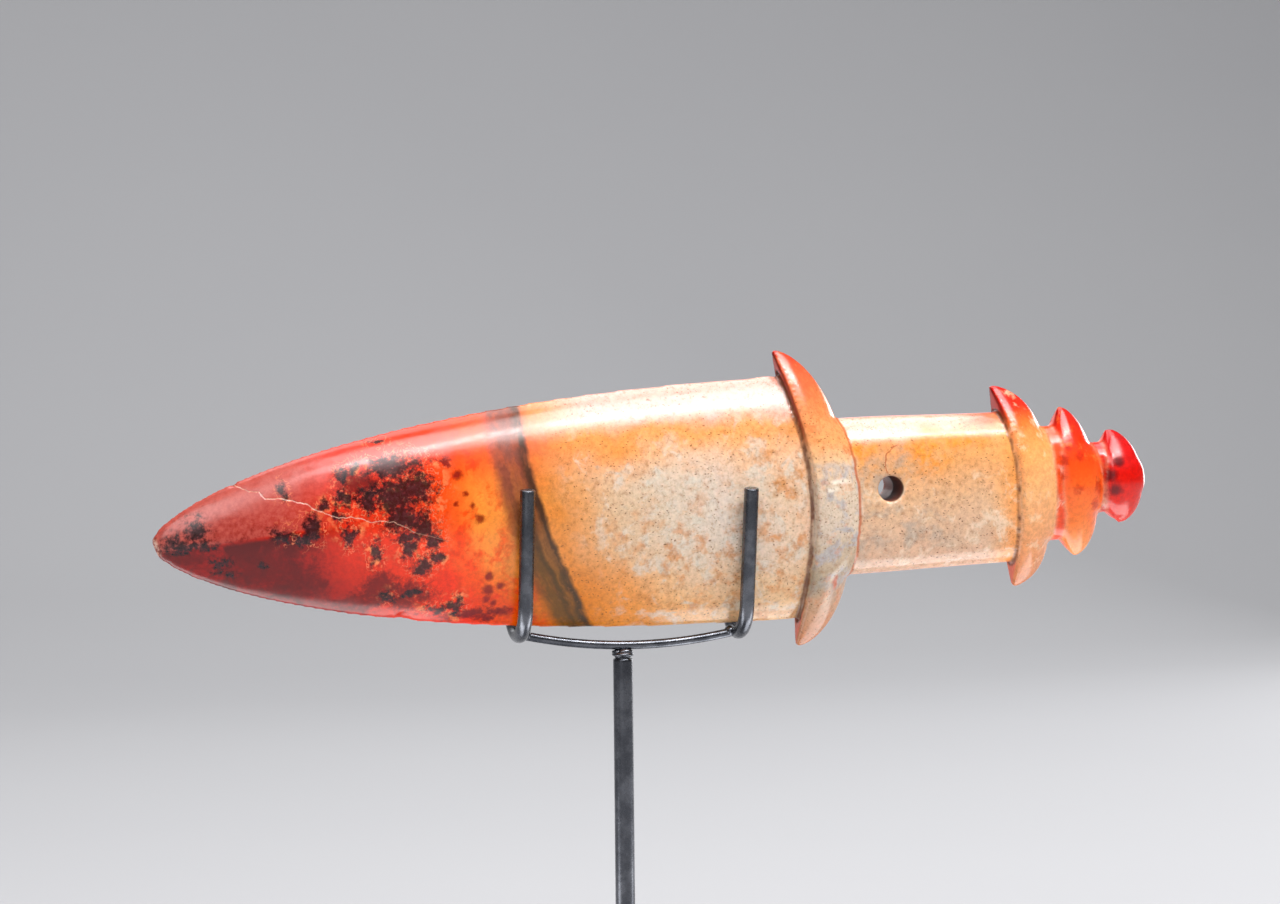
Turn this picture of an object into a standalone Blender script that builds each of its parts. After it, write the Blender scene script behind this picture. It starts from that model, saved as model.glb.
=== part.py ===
"""A carved jade blade held level in a forged steel cradle on a post and foot.

The blade is one stone: a leaf-shaped blade, a crescent guard, an oval grip with a
drilled cord hole, and three more crescents that step down to the end. It is carved in
its own frame, with u along the blade from the tip, v up its face and w through it,
and then set on the stand. World frame: the origin is under the middle of the foot,
+X points to the carved end, -Y is the face that is shown, and +Z is up.
"""

import math
from dataclasses import dataclass

import bmesh
import bpy

# Blade, in metres along u from the tip
BLADE_LENGTH = 0.1607
BLADE_WIDTH = 0.0603
BLADE_THICKNESS = 0.0200
TIP_CUT = 0.0005
EDGE_BOW = 0.0011

# Carved end, each length measured along u
GUARD_LENGTH = 0.0123
GRIP_LENGTH = 0.0413
FLANGE_LENGTH = 0.0107
COLLAR_LENGTH = 0.0133
POMMEL_LENGTH = 0.0117
GUARD_STEP = 0.0019
FLANGE_STEP = 0.0018
COLLAR_STEP = 0.0012
POMMEL_STEP = 0.0018

# How far each crescent's horns stand out past the stone that carries it
GUARD_TOP_OVERHANG = 0.0075
GUARD_BOTTOM_OVERHANG = 0.0057
FLANGE_TOP_OVERHANG = 0.0069
FLANGE_BOTTOM_OVERHANG = 0.0063
COLLAR_TOP_OVERHANG = 0.0050
COLLAR_BOTTOM_OVERHANG = 0.0040
POMMEL_TOP_OVERHANG = 0.0041
POMMEL_BOTTOM_OVERHANG = 0.0019

# Grip and the two necks behind it: height, thickness, and middle above the axis
GRIP_HEIGHT = 0.0390
GRIP_END_HEIGHT = 0.0378
GRIP_THICKNESS = 0.0176
NECK_HEIGHT = 0.0288
NECK_THICKNESS = 0.0142
LAST_NECK_HEIGHT = 0.0178
LAST_NECK_THICKNESS = 0.0104
GRIP_MIDDLE = 0.0004
GRIP_END_MIDDLE = 0.0001
NECK_MIDDLE = 0.0003
LAST_NECK_MIDDLE = 0.0010

# Cord hole, drilled from both faces
HOLE_DIAMETER = 0.0062
HOLE_BEHIND_GUARD = 0.0082
HOLE_ABOVE_AXIS = 0.0022
DRILL_MISMATCH = 0.0002
DRILLS_MEET_OVER = 0.0006

# Small losses on the blade's edges
CHIP_HEIGHT_SHARE = 0.30
CHIPS = (
    # u, upper (1) or lower (-1) edge, length, depth
    (0.0206, 1, 0.0022, 0.0004),
    (0.0595, -1, 0.0050, 0.0005),
)

# Stand
WIRE_DIAMETER = 0.0036
BAR_DIAMETER = 0.0022
BAR_SAG = 0.0028
LEAN_STEP = math.radians(0.1)
MOST_LEAN = math.radians(40)
LEAN_TESTS = 24
POST_DIAMETER = 0.0048
HOOK_RADIUS = 0.0090
ARM_RISE = 0.0361
LEFT_HOOK_FROM_POST = 0.0260
RIGHT_HOOK_FROM_POST = 0.0291
RIGHT_HOOK_BEFORE_GUARD = 0.0169
FOOT_LENGTH = 0.130
FOOT_DEPTH = 0.085
FOOT_THICKNESS = 0.008
FOOT_CORNER_RADIUS = 0.006
FOOT_EDGE_CHAMFER = 0.0008
POST_END_CHAMFER = 0.0004
WELD_BEAD_HEIGHT = 0.0014
WELD_BEAD_DIAMETER = 0.0056
WELD_BEAD_PROFILE = (
    # share of the bead's radius, share of its height
    (0.45, 1.00),
    (0.85, 0.75),
    (1.00, 0.40),
    (0.80, 0.00),
)

# Where the blade lies on the stand
AXIS_HEIGHT = 0.140
TIP_TO_POST = BLADE_LENGTH - RIGHT_HOOK_BEFORE_GUARD - RIGHT_HOOK_FROM_POST
BLADE_RISE = math.radians(2.26)
TOUCH_GAP = 0.0003

# Points taken around and along the carved forms
BLADE_STATIONS = 34
BLADE_RING = 28
CORE_STEPS = 5
HORN_STATIONS = 11
FRONT_POINTS = 4
REAR_POINTS = 6
WIRE_RESOLUTION = 4
BEND_STEPS = 14
BAR_STEPS = 12
POST_SIDES = 24
HOLE_SIDES = 32
SMOOTH_ANGLE = math.radians(35)

# The leaf: its outline's two powers, its section, and how its middle thins to the tip
LEAF_REACH = 2.2
LEAF_FULLNESS = 0.61
EDGE_ROUNDING = 0.75
RIDGE_SHARPNESS = 1.2
BODY_ROUNDING = 2.1
RIDGE_LENGTH = 0.42
THINNING = 0.85
TIP_SLANT = 0.23
STATION_CROWDING = 1.5
END_INSIDE_GUARD = 0.001

GUARD_AT = BLADE_LENGTH
GRIP_AT = GUARD_AT + GUARD_LENGTH
FLANGE_AT = GRIP_AT + GRIP_LENGTH
COLLAR_AT = FLANGE_AT + FLANGE_LENGTH
POMMEL_AT = COLLAR_AT + COLLAR_LENGTH
END_AT = POMMEL_AT + POMMEL_LENGTH


def leaf_half_width(u):
    """Half the blade's width at u: a pointed arch that is full at the guard."""
    share = min(u / BLADE_LENGTH, 1.0)
    return BLADE_WIDTH / 2 * (1 - (1 - share) ** LEAF_REACH) ** LEAF_FULLNESS


def leaf_middle(u):
    """How far the middle of the blade's width stands above its axis at u."""
    share = min(u / BLADE_LENGTH, 1.0)
    return EDGE_BOW * (1 - (1 - share) ** 2)


def leaf_half_thickness(u, v):
    """Half the blade's thickness at a point of its face, 0 outside its edges."""
    half = leaf_half_width(u)
    across = min(abs(v - leaf_middle(u)) / half, 1.0)
    ridge = max(0.0, 1 - u / (RIDGE_LENGTH * BLADE_LENGTH))
    power = BODY_ROUNDING + (RIDGE_SHARPNESS - BODY_ROUNDING) * ridge
    thick = BLADE_THICKNESS / 2 * (2 * half / BLADE_WIDTH) ** THINNING
    return thick * (1 - across**power) ** EDGE_ROUNDING


# How far each part of the core runs on inside the crescent at its end
CORE_OVERLAP = 0.10
NECK_RUN = 0.20
LAST_NECK_RUN = 0.55
LAST_NECK_AT = POMMEL_AT - CORE_OVERLAP * COLLAR_LENGTH
LAST_NECK_END = POMMEL_AT + NECK_RUN * POMMEL_LENGTH
CORE_END = POMMEL_AT + LAST_NECK_RUN * POMMEL_LENGTH

# Stations of the core that runs inside the crescents: u, height, thickness, middle
CORE = (
    (GUARD_AT + CORE_OVERLAP * GUARD_LENGTH, GRIP_HEIGHT, GRIP_THICKNESS, GRIP_MIDDLE),
    (GRIP_AT, GRIP_HEIGHT, GRIP_THICKNESS, GRIP_MIDDLE),
    (FLANGE_AT, GRIP_END_HEIGHT, GRIP_THICKNESS, GRIP_END_MIDDLE),
    (COLLAR_AT - CORE_OVERLAP * FLANGE_LENGTH, NECK_HEIGHT, NECK_THICKNESS, NECK_MIDDLE),
    (COLLAR_AT + NECK_RUN * COLLAR_LENGTH, NECK_HEIGHT, NECK_THICKNESS, NECK_MIDDLE),
    (LAST_NECK_AT, LAST_NECK_HEIGHT, LAST_NECK_THICKNESS, LAST_NECK_MIDDLE),
    (LAST_NECK_END, LAST_NECK_HEIGHT, LAST_NECK_THICKNESS, LAST_NECK_MIDDLE),
    (CORE_END, LAST_NECK_HEIGHT / 2, LAST_NECK_THICKNESS / 2, LAST_NECK_MIDDLE),
)
CORE_SQUARENESS = 2.4
CORE_ROUNDING = 0.52


def core_at(u):
    """Half height, half thickness and middle of the core's oval at u."""
    u = min(max(u, CORE[0][0]), CORE[-1][0])
    for before, after in zip(CORE, CORE[1:]):
        if u <= after[0]:
            break
    share = (u - before[0]) / (after[0] - before[0])
    share = (1 - math.cos(math.pi * share)) / 2
    height, thick, middle = (
        before[i] + (after[i] - before[i]) * share for i in (1, 2, 3)
    )
    return height / 2, thick / 2, middle


def core_half_thickness(u, v):
    """Half the core's thickness at a point of its face, 0 outside its outline."""
    half, thick, middle = core_at(u)
    across = min(abs(v - middle) / half, 1.0)
    return thick * (1 - across**CORE_SQUARENESS) ** CORE_ROUNDING


@dataclass
class Horn:
    """One half of a crescent, from the axis to its tip.

    reach is its height, the sweeps say how far its front and rear outlines have moved
    towards the blade's tip by then, and the curves say how late they do so.
    """

    reach: float
    front_sweep: float
    front_curve: float
    rear_sweep: float
    rear_curve: float


@dataclass
class Crescent:
    """A raised crescent across the stone, between its front and rear outlines."""

    front: float
    rear: float
    half_depth: float
    front_rounding: float
    back_fall: float
    top: Horn
    bottom: Horn


COLLAR_SETBACK = 0.02
GUARD = Crescent(
    front=GUARD_AT,
    rear=GRIP_AT,
    half_depth=BLADE_THICKNESS / 2 + GUARD_STEP,
    front_rounding=0.10,
    back_fall=0.80,
    top=Horn(BLADE_WIDTH / 2 + GUARD_TOP_OVERHANG, 0.0063, 1.5, 0.0184, 2.2),
    bottom=Horn(BLADE_WIDTH / 2 + GUARD_BOTTOM_OVERHANG, 0.0035, 1.5, 0.0153, 2.8),
)
FLANGE = Crescent(
    front=FLANGE_AT,
    rear=COLLAR_AT,
    half_depth=GRIP_THICKNESS / 2 + FLANGE_STEP,
    front_rounding=0.12,
    back_fall=0.85,
    top=Horn(GRIP_END_HEIGHT / 2 + FLANGE_TOP_OVERHANG, 0.0039, 1.7, 0.0145, 3.1),
    bottom=Horn(GRIP_END_HEIGHT / 2 + FLANGE_BOTTOM_OVERHANG, 0.0, 1.5, 0.0108, 4.0),
)
COLLAR = Crescent(
    front=COLLAR_AT + COLLAR_SETBACK * COLLAR_LENGTH,
    rear=POMMEL_AT,
    half_depth=NECK_THICKNESS / 2 + COLLAR_STEP,
    front_rounding=0.34,
    back_fall=0.85,
    top=Horn(NECK_HEIGHT / 2 + COLLAR_TOP_OVERHANG, -0.0033, 3.5, 0.0097, 1.8),
    bottom=Horn(NECK_HEIGHT / 2 + COLLAR_BOTTOM_OVERHANG, -0.0059, 3.3, 0.0070, 2.8),
)
POMMEL = Crescent(
    front=POMMEL_AT,
    rear=END_AT,
    half_depth=LAST_NECK_THICKNESS / 2 + POMMEL_STEP,
    front_rounding=0.32,
    back_fall=0.50,
    top=Horn(LAST_NECK_HEIGHT / 2 + POMMEL_TOP_OVERHANG, -0.0027, 2.9, 0.0084, 2.0),
    bottom=Horn(LAST_NECK_HEIGHT / 2 + POMMEL_BOTTOM_OVERHANG, -0.0053, 3.3, 0.0059, 2.2),
)
HORN_TIP_MARGIN = 1.03
HORN_DEPTH_CURVE = 1.05
HORN_TIP_ROUNDING = 0.60
FRONT_SQUARENESS = 0.50
THIN_EDGE = 0.0005
BURIED = 0.0004
MOST_BACK = 0.9


def crescent_ring(crescent, v):
    """The crescent's cut at height v, as (u, w) points from its front edge round."""
    horn = crescent.top if v >= 0 else crescent.bottom
    up = min(abs(v) / horn.reach, 1.0)
    front = crescent.front - horn.front_sweep * up**horn.front_curve
    rounding = 1 - (1 - up**horn.rear_curve) ** HORN_TIP_ROUNDING
    rear = crescent.rear - horn.rear_sweep * rounding
    crest = crescent.half_depth * (1 - (up / HORN_TIP_MARGIN) ** 2) ** HORN_DEPTH_CURVE
    seat = core_half_thickness(rear, v) - BURIED
    back = min(max(THIN_EDGE, seat), MOST_BACK * crest)
    length = rear - front
    side = []
    for i in range(1, FRONT_POINTS + 1):
        turn = math.pi / 2 * i / FRONT_POINTS
        along = crescent.front_rounding * (1 - math.cos(turn))
        side.append((front + along * length, crest * math.sin(turn) ** FRONT_SQUARENESS))
    for i in range(1, REAR_POINTS + 1):
        turn = math.pi / 2 * i / REAR_POINTS
        along = crescent.front_rounding + (1 - crescent.front_rounding) * math.sin(turn)
        fall = max(0.0, math.cos(turn)) ** (2 * crescent.back_fall)
        side.append((front + along * length, back + (crest - back) * fall))
    far_side = [(u, -w) for u, w in reversed(side)]
    return [(front, 0.0)] + side + far_side


def loft(name, rings, collection):
    """A closed object through equal rings of (u, v, w) points, capped at both ends."""
    mesh = bmesh.new()
    loops = [[mesh.verts.new((u, -w, v)) for u, v, w in ring] for ring in rings]
    count = len(loops[0])
    for near, far in zip(loops, loops[1:]):
        for i in range(count):
            after = (i + 1) % count
            mesh.faces.new((near[i], near[after], far[after], far[i]))
    mesh.faces.new(loops[0][::-1])
    mesh.faces.new(loops[-1])
    bmesh.ops.recalc_face_normals(mesh, faces=mesh.faces)
    return add_mesh(name, mesh, collection)


def add_mesh(name, mesh, collection):
    """Store a bmesh as a new object in a collection."""
    data = bpy.data.meshes.new(name)
    mesh.to_mesh(data)
    mesh.free()
    obj = bpy.data.objects.new(name, data)
    collection.objects.link(obj)
    return obj


def leaf_rings():
    """Rings of the blade from its blunt tip to inside the guard."""
    last = GUARD_AT - END_INSIDE_GUARD
    rings = []
    for i in range(BLADE_STATIONS):
        share = i / (BLADE_STATIONS - 1)
        u = TIP_CUT + (last - TIP_CUT) * share**STATION_CROWDING
        half, middle = leaf_half_width(u), leaf_middle(u)
        slant = TIP_SLANT if i == 0 else 0.0
        ring = []
        for j in range(BLADE_RING):
            turn = 2 * math.pi * j / BLADE_RING
            v = middle + half * math.cos(turn)
            w = math.copysign(leaf_half_thickness(u, v), math.sin(turn))
            ring.append((u - slant * (v - middle), v, w))
        rings.append(ring)
    return rings


def core_rings():
    """Rings of the grip and necks, from inside the guard to inside the pommel."""
    places = [CORE[0][0]]
    for before, after in zip(CORE, CORE[1:]):
        step = (after[0] - before[0]) / CORE_STEPS
        places += [before[0] + step * (i + 1) for i in range(CORE_STEPS)]
    rings = []
    for u in places:
        half, _, middle = core_at(u)
        ring = []
        for j in range(BLADE_RING):
            turn = 2 * math.pi * j / BLADE_RING
            v = middle + half * math.cos(turn)
            w = math.copysign(core_half_thickness(u, v), math.sin(turn))
            ring.append((u, v, w))
        rings.append(ring)
    return rings


def crescent_rings(crescent):
    """Rings of a crescent from its bottom tip to its top tip, closer near the tips."""
    heights = []
    for i in range(-HORN_STATIONS, HORN_STATIONS + 1):
        horn = crescent.top if i >= 0 else crescent.bottom
        heights.append(horn.reach * math.sin(math.pi / 2 * i / HORN_STATIONS))
    return [[(u, v, w) for u, w in crescent_ring(crescent, v)] for v in heights]


def boolean(target, other, operation):
    """Join another solid to the target or cut it away, and apply the result."""
    modifier = target.modifiers.new(operation.title(), "BOOLEAN")
    modifier.operation = operation
    modifier.solver = "EXACT"
    modifier.object = other
    graph = bpy.context.evaluated_depsgraph_get()
    mesh = bpy.data.meshes.new_from_object(target.evaluated_get(graph))
    target.modifiers.remove(modifier)
    target.data = mesh


def drill(name, face, collection):
    """A straight drill from one face of the grip to just past its middle."""
    length = GRIP_THICKNESS
    mesh = bmesh.new()
    bmesh.ops.create_cone(
        mesh,
        cap_ends=True,
        segments=HOLE_SIDES,
        radius1=HOLE_DIAMETER / 2,
        radius2=HOLE_DIAMETER / 2,
        depth=length,
    )
    cutter = add_mesh(name, mesh, collection)
    cutter.location = (
        GRIP_AT + HOLE_BEHIND_GUARD + face * DRILL_MISMATCH / 2,
        face * (length - DRILLS_MEET_OVER) / 2,
        HOLE_ABOVE_AXIS,
    )
    cutter.rotation_euler = (math.pi / 2, 0, 0)
    return cutter


def chip(name, u, edge, length, depth, collection):
    """A shallow shell-shaped cutter on the upper (1) or lower (-1) edge at u."""
    mesh = bmesh.new()
    bmesh.ops.create_uvsphere(mesh, u_segments=12, v_segments=8, radius=length / 2)
    cutter = add_mesh(name, mesh, collection)
    v = leaf_middle(u) + edge * leaf_half_width(u)
    cutter.scale = (1.0, 1.0, 2 * CHIP_HEIGHT_SHARE)
    cutter.location = (u, 0, v + edge * (length * CHIP_HEIGHT_SHARE - depth))
    return cutter


def build_blade(parts, cutters, material):
    """The whole stone: lofts joined to one solid, then drilled and chipped."""
    blade = loft("jade_blade", leaf_rings(), parts)
    pieces = [loft("core", core_rings(), cutters)]
    named = (("guard", GUARD), ("flange", FLANGE), ("collar", COLLAR), ("pommel", POMMEL))
    pieces += [loft(name, crescent_rings(shape), cutters) for name, shape in named]
    for piece in pieces:
        boolean(blade, piece, "UNION")
    tools = [drill("front_drill", -1, cutters), drill("back_drill", 1, cutters)]
    for i, (u, edge, length, depth) in enumerate(CHIPS):
        tools.append(chip(f"chip_{i + 1}", u, edge, length, depth, cutters))
    bpy.context.view_layer.update()
    for tool in tools:
        boolean(blade, tool, "DIFFERENCE")
    for helper in pieces + tools:
        helper.hide_render = True
        helper.display_type = "WIRE"
    finish(blade, material)
    blade.rotation_euler = (0, -BLADE_RISE, 0)
    blade.location = (-TIP_TO_POST, 0, tip_height())
    return blade


def tip_height():
    """Height of the blade's tip, on its axis, above the foot's underside."""
    return AXIS_HEIGHT - TIP_TO_POST * math.tan(BLADE_RISE)


def lower_edge_under(x):
    """The u of the blade's lower edge above world x, and that edge's world height."""
    u = x + TIP_TO_POST
    for _ in range(4):
        v = leaf_middle(u) - leaf_half_width(u)
        u = (x + TIP_TO_POST + v * math.sin(BLADE_RISE)) / math.cos(BLADE_RISE)
    v = leaf_middle(u) - leaf_half_width(u)
    return u, tip_height() + u * math.sin(BLADE_RISE) + v * math.cos(BLADE_RISE)


def hook_bottom(x):
    """Height of the hook wire's centre under the blade, where the edge rests on it."""
    return lower_edge_under(x)[1] - TOUCH_GAP - WIRE_DIAMETER / 2


def arm_reach(x, lean, height):
    """How far out from the blade's mid plane a leaning arm's axis is at a height."""
    start = hook_bottom(x) + HOOK_RADIUS * (1 - math.sin(lean))
    return HOOK_RADIUS * math.cos(lean) + (height - start) * math.tan(lean)


def arm_clears(x, lean):
    """Whether an arm with this lean stays clear of the blade's face all the way up."""
    u, edge = lower_edge_under(x)
    middle_to_edge = leaf_middle(u) - leaf_half_width(u)
    low = hook_bottom(x) + HOOK_RADIUS
    top = hook_bottom(x) + ARM_RISE
    for i in range(LEAN_TESTS + 1):
        height = low + (top - low) * i / LEAN_TESTS
        face = leaf_half_thickness(u, middle_to_edge + height - edge)
        inner_side = arm_reach(x, lean, height) - WIRE_DIAMETER / 2 / math.cos(lean)
        if inner_side < face + TOUCH_GAP:
            return False
    return True


def arm_lean(x):
    """The least outward lean that keeps a hook's arms clear of the blade's faces."""
    lean = 0.0
    while lean < MOST_LEAN and not arm_clears(x, lean):
        lean += LEAN_STEP
    return lean


def hook_path(x):
    """Points down the front arm, round under the blade and up the back arm."""
    lean = arm_lean(x)
    centre = hook_bottom(x) + HOOK_RADIUS
    bend = []
    for i in range(BEND_STEPS + 1):
        turn = math.pi + lean + (math.pi - 2 * lean) * i / BEND_STEPS
        bend.append((x, HOOK_RADIUS * math.cos(turn), centre + HOOK_RADIUS * math.sin(turn)))
    top = hook_bottom(x) + ARM_RISE
    reach = arm_reach(x, lean, top)
    return [(x, -reach, top)] + bend + [(x, reach, top)]


def wire(name, path, diameter, collection):
    """A round wire along a path, made a closed mesh with its end caps welded on."""
    curve = bpy.data.curves.new(name + "_path", "CURVE")
    curve.dimensions = "3D"
    curve.bevel_depth = diameter / 2
    curve.bevel_resolution = WIRE_RESOLUTION
    curve.use_fill_caps = True
    spline = curve.splines.new("POLY")
    spline.points.add(len(path) - 1)
    for point, place in zip(spline.points, path):
        point.co = (*place, 1)
    guide = bpy.data.objects.new(name + "_path", curve)
    collection.objects.link(guide)
    bpy.context.view_layer.update()
    graph = bpy.context.evaluated_depsgraph_get()
    data = bpy.data.meshes.new_from_object(guide.evaluated_get(graph))
    matrix = guide.matrix_world.copy()
    bpy.data.objects.remove(guide)
    mesh = bmesh.new()
    mesh.from_mesh(data)
    bmesh.ops.remove_doubles(mesh, verts=mesh.verts, dist=1e-6)
    bmesh.ops.recalc_face_normals(mesh, faces=mesh.faces)
    obj = add_mesh(name, mesh, collection)
    obj.matrix_world = matrix
    return obj


def bar_path():
    """The sagging bar between the two hooks, from one wire's side to the other's."""
    ends = (-LEFT_HOOK_FROM_POST, RIGHT_HOOK_FROM_POST)
    low, high = (hook_bottom(x) for x in ends)
    inset = WIRE_DIAMETER / 2 + TOUCH_GAP
    left, right = ends[0] + inset, ends[1] - inset
    path = []
    for i in range(BAR_STEPS + 1):
        share = i / BAR_STEPS
        sag = BAR_SAG * (1 - (2 * share - 1) ** 2)
        path.append((left + (right - left) * share, 0, low + (high - low) * share - sag))
    return path


def bar_underside(x):
    """Height of the bar's lowest line at world x."""
    path = bar_path()
    for near, far in zip(path, path[1:]):
        if x <= far[0]:
            break
    share = (x - near[0]) / (far[0] - near[0])
    return near[2] + (far[2] - near[2]) * share - BAR_DIAMETER / 2


def build_post(collection, material):
    """The post, turned as one profile with the weld bead that the bar sits on."""
    top = bar_underside(0.0) - TOUCH_GAP
    shoulder = top - WELD_BEAD_HEIGHT
    radius, bead = POST_DIAMETER / 2, WELD_BEAD_DIAMETER / 2
    foot = FOOT_THICKNESS + TOUCH_GAP
    profile = [(0.0, top)]
    profile += [(x * bead, shoulder + z * WELD_BEAD_HEIGHT) for x, z in WELD_BEAD_PROFILE]
    profile += [
        (radius - POST_END_CHAMFER, shoulder),
        (radius, shoulder - POST_END_CHAMFER),
        (radius, foot),
        (0.0, foot),
    ]
    mesh = bmesh.new()
    corners = [mesh.verts.new((x, 0, z)) for x, z in profile]
    for near, far in zip(corners, corners[1:]):
        mesh.edges.new((near, far))
    post = add_mesh("post", mesh, collection)
    screw = post.modifiers.new("Turn", "SCREW")
    screw.steps = screw.render_steps = POST_SIDES
    screw.use_merge_vertices = True
    screw.merge_threshold = 1e-5
    finish(post, material)
    return post


def build_foot(collection, material):
    """The flat foot plate, its corners rounded and its upper edge broken."""
    mesh = bmesh.new()
    bmesh.ops.create_cube(mesh, size=1)
    bmesh.ops.scale(mesh, vec=(FOOT_LENGTH, FOOT_DEPTH, FOOT_THICKNESS), verts=mesh.verts)
    bmesh.ops.translate(mesh, vec=(0, 0, FOOT_THICKNESS / 2), verts=mesh.verts)
    upright = [e for e in mesh.edges if abs(e.verts[0].co.z - e.verts[1].co.z) > 0.5 * FOOT_THICKNESS]
    bmesh.ops.bevel(
        mesh,
        geom=upright,
        offset=FOOT_CORNER_RADIUS,
        segments=6,
        profile=0.5,
        affect="EDGES",
        material=-1,
    )
    rim = [e for e in mesh.edges if all(v.co.z > 0.9 * FOOT_THICKNESS for v in e.verts)]
    bmesh.ops.bevel(
        mesh,
        geom=rim,
        offset=FOOT_EDGE_CHAMFER,
        segments=2,
        profile=0.5,
        affect="EDGES",
        material=-1,
    )
    foot = add_mesh("foot_plate", mesh, collection)
    finish(foot, material)
    return foot


def finish(obj, material):
    """Give an object its one material and shade its round faces smooth."""
    obj.data.materials.clear()
    obj.data.materials.append(material)
    obj.data.shade_smooth()
    obj.data.set_sharp_from_angle(angle=SMOOTH_ANGLE)


def material(name, colour, roughness, metallic):
    """A plain surface in the part's own colour."""
    made = bpy.data.materials.new(name)
    made.use_nodes = True
    shader = made.node_tree.nodes["Principled BSDF"]
    shader.inputs["Base Color"].default_value = (*colour, 1)
    shader.inputs["Roughness"].default_value = roughness
    shader.inputs["Metallic"].default_value = metallic
    return made


def main():
    for obj in list(bpy.data.objects):
        bpy.data.objects.remove(obj)
    parts = bpy.data.collections.new("jade_blade_on_stand")
    cutters = bpy.data.collections.new("cutters")
    for collection in (parts, cutters):
        bpy.context.scene.collection.children.link(collection)
    jade = material("polished_jade", (0.62, 0.24, 0.10), 0.16, 0.0)
    steel = material("waxed_steel", (0.045, 0.046, 0.05), 0.38, 1.0)
    display = bpy.data.objects.new("display", None)
    parts.objects.link(display)
    pieces = [build_blade(parts, cutters, jade)]
    for name, x in (("left_hook", -LEFT_HOOK_FROM_POST), ("right_hook", RIGHT_HOOK_FROM_POST)):
        pieces.append(wire(name, hook_path(x), WIRE_DIAMETER, parts))
        finish(pieces[-1], steel)
    pieces.append(wire("cross_bar", bar_path(), BAR_DIAMETER, parts))
    finish(pieces[-1], steel)
    pieces.append(build_post(parts, steel))
    pieces.append(build_foot(parts, steel))
    for piece in pieces:
        piece.parent = display


main()
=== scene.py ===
# %% [markdown]
# # A carved jade blade in a forged steel cradle
#
# The real object is one stone: red at the tip, cream in the middle and red again at the
# carved end. It lies on two bent steel wires, which a thin bar and a post carry.
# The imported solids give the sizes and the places. This script gives each of them the
# shape, the polish and the colour that the real one shows.

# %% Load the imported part
import math
from functools import partial

import bmesh
import bpy
import numpy as np
from mathutils import Matrix, Vector, noise
from mathutils.bvhtree import BVHTree


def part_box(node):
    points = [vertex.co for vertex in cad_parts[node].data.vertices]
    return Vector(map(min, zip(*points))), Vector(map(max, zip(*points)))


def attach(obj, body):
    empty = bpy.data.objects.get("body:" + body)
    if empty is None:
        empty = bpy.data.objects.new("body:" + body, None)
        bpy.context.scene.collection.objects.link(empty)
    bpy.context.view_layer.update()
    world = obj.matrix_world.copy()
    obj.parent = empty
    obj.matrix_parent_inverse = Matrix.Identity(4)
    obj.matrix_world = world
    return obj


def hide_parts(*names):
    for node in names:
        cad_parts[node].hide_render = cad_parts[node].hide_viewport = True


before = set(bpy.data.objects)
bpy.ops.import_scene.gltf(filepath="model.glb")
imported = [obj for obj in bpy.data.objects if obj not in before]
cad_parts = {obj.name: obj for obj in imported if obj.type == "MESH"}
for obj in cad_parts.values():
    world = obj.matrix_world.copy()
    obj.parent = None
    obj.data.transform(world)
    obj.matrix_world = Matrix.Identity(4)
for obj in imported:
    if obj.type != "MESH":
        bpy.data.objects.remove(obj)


def rounded(values, digits=4):
    """Numbers cut short for a printed line."""
    return [round(value, digits) for value in values]


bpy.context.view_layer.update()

# %% [markdown]
# ## Where the stone lies
#
# The stone is easiest to carve lying along an axis of its own: u runs from the tip to
# the carved end, v up its face and w out of the face that is shown. One matrix then
# lays the finished stone on the cradle, tip a little low. Lengths are in metres, except
# where the marks and the colours are placed: those are in millimetres.

# %% The stone's own axes
MM = 0.001
TIP = Vector((-0.1147, 0.0, 0.135473))
RISE = math.radians(2.26)
lay_down = Matrix.Translation(TIP) @ Matrix.Rotation(-RISE, 4, "Y")


def stone_point(u, v, w):
    """A point of the stone's own axes as a mesh point, before the stone is laid down."""
    return Vector((u, -w, v))


print("tip at", rounded(TIP), "rising", round(math.degrees(RISE), 2), "degrees")

# %% [markdown]
# ## The blade's leaf
#
# The blade is a pointed leaf, thick in the middle and thin at both edges, with a soft
# ridge that runs out from the tip. It could be sculpted, but a leaf that someone ground
# by eye is still a simple curve, so a few formulas give each section's width and depth.

# %% The leaf's sizes
BLADE_LENGTH = 0.1607
BLADE_WIDTH = 0.0603
BLADE_THICKNESS = 0.0200
EDGE_BOW = 0.0011
TIP_CUT = 0.0005
TIP_SLANT = 0.23
RIDGE_LENGTH = 0.42


def half_width(u):
    """Half the blade's width at u: a pointed arch, full at the guard."""
    share = min(u / BLADE_LENGTH, 1.0)
    return BLADE_WIDTH / 2 * (1 - (1 - share) ** 2.2) ** 0.61


def middle(u):
    """How far the blade's middle line stands above its axis."""
    share = min(u / BLADE_LENGTH, 1.0)
    return EDGE_BOW * (1 - (1 - share) ** 2)


def leaf_depth(u, v):
    """How far the blade's face stands out at a point, 0 at its edge."""
    across = min(abs(v - middle(u)) / half_width(u), 1.0)
    ridge = max(0.0, 1 - u / (RIDGE_LENGTH * BLADE_LENGTH))
    power = 2.1 - 0.9 * ridge
    thick = BLADE_THICKNESS / 2 * (2 * half_width(u) / BLADE_WIDTH) ** 0.85
    return thick * (1 - across**power) ** 0.75


print("blade", rounded((BLADE_LENGTH / MM, BLADE_WIDTH / MM, BLADE_THICKNESS / MM), 1), "mm")

# %% [markdown]
# ## A grid rolled into a skin
#
# Every carved form here is long and round, like a sleeve. So each one starts as a flat
# grid: one way runs along the form and the other way goes round it. Each grid point
# moves to its place, the two long sides meet and are welded, and the ends are filled.

# %% Roll a grid into a closed skin
WELD = 1e-6


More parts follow.
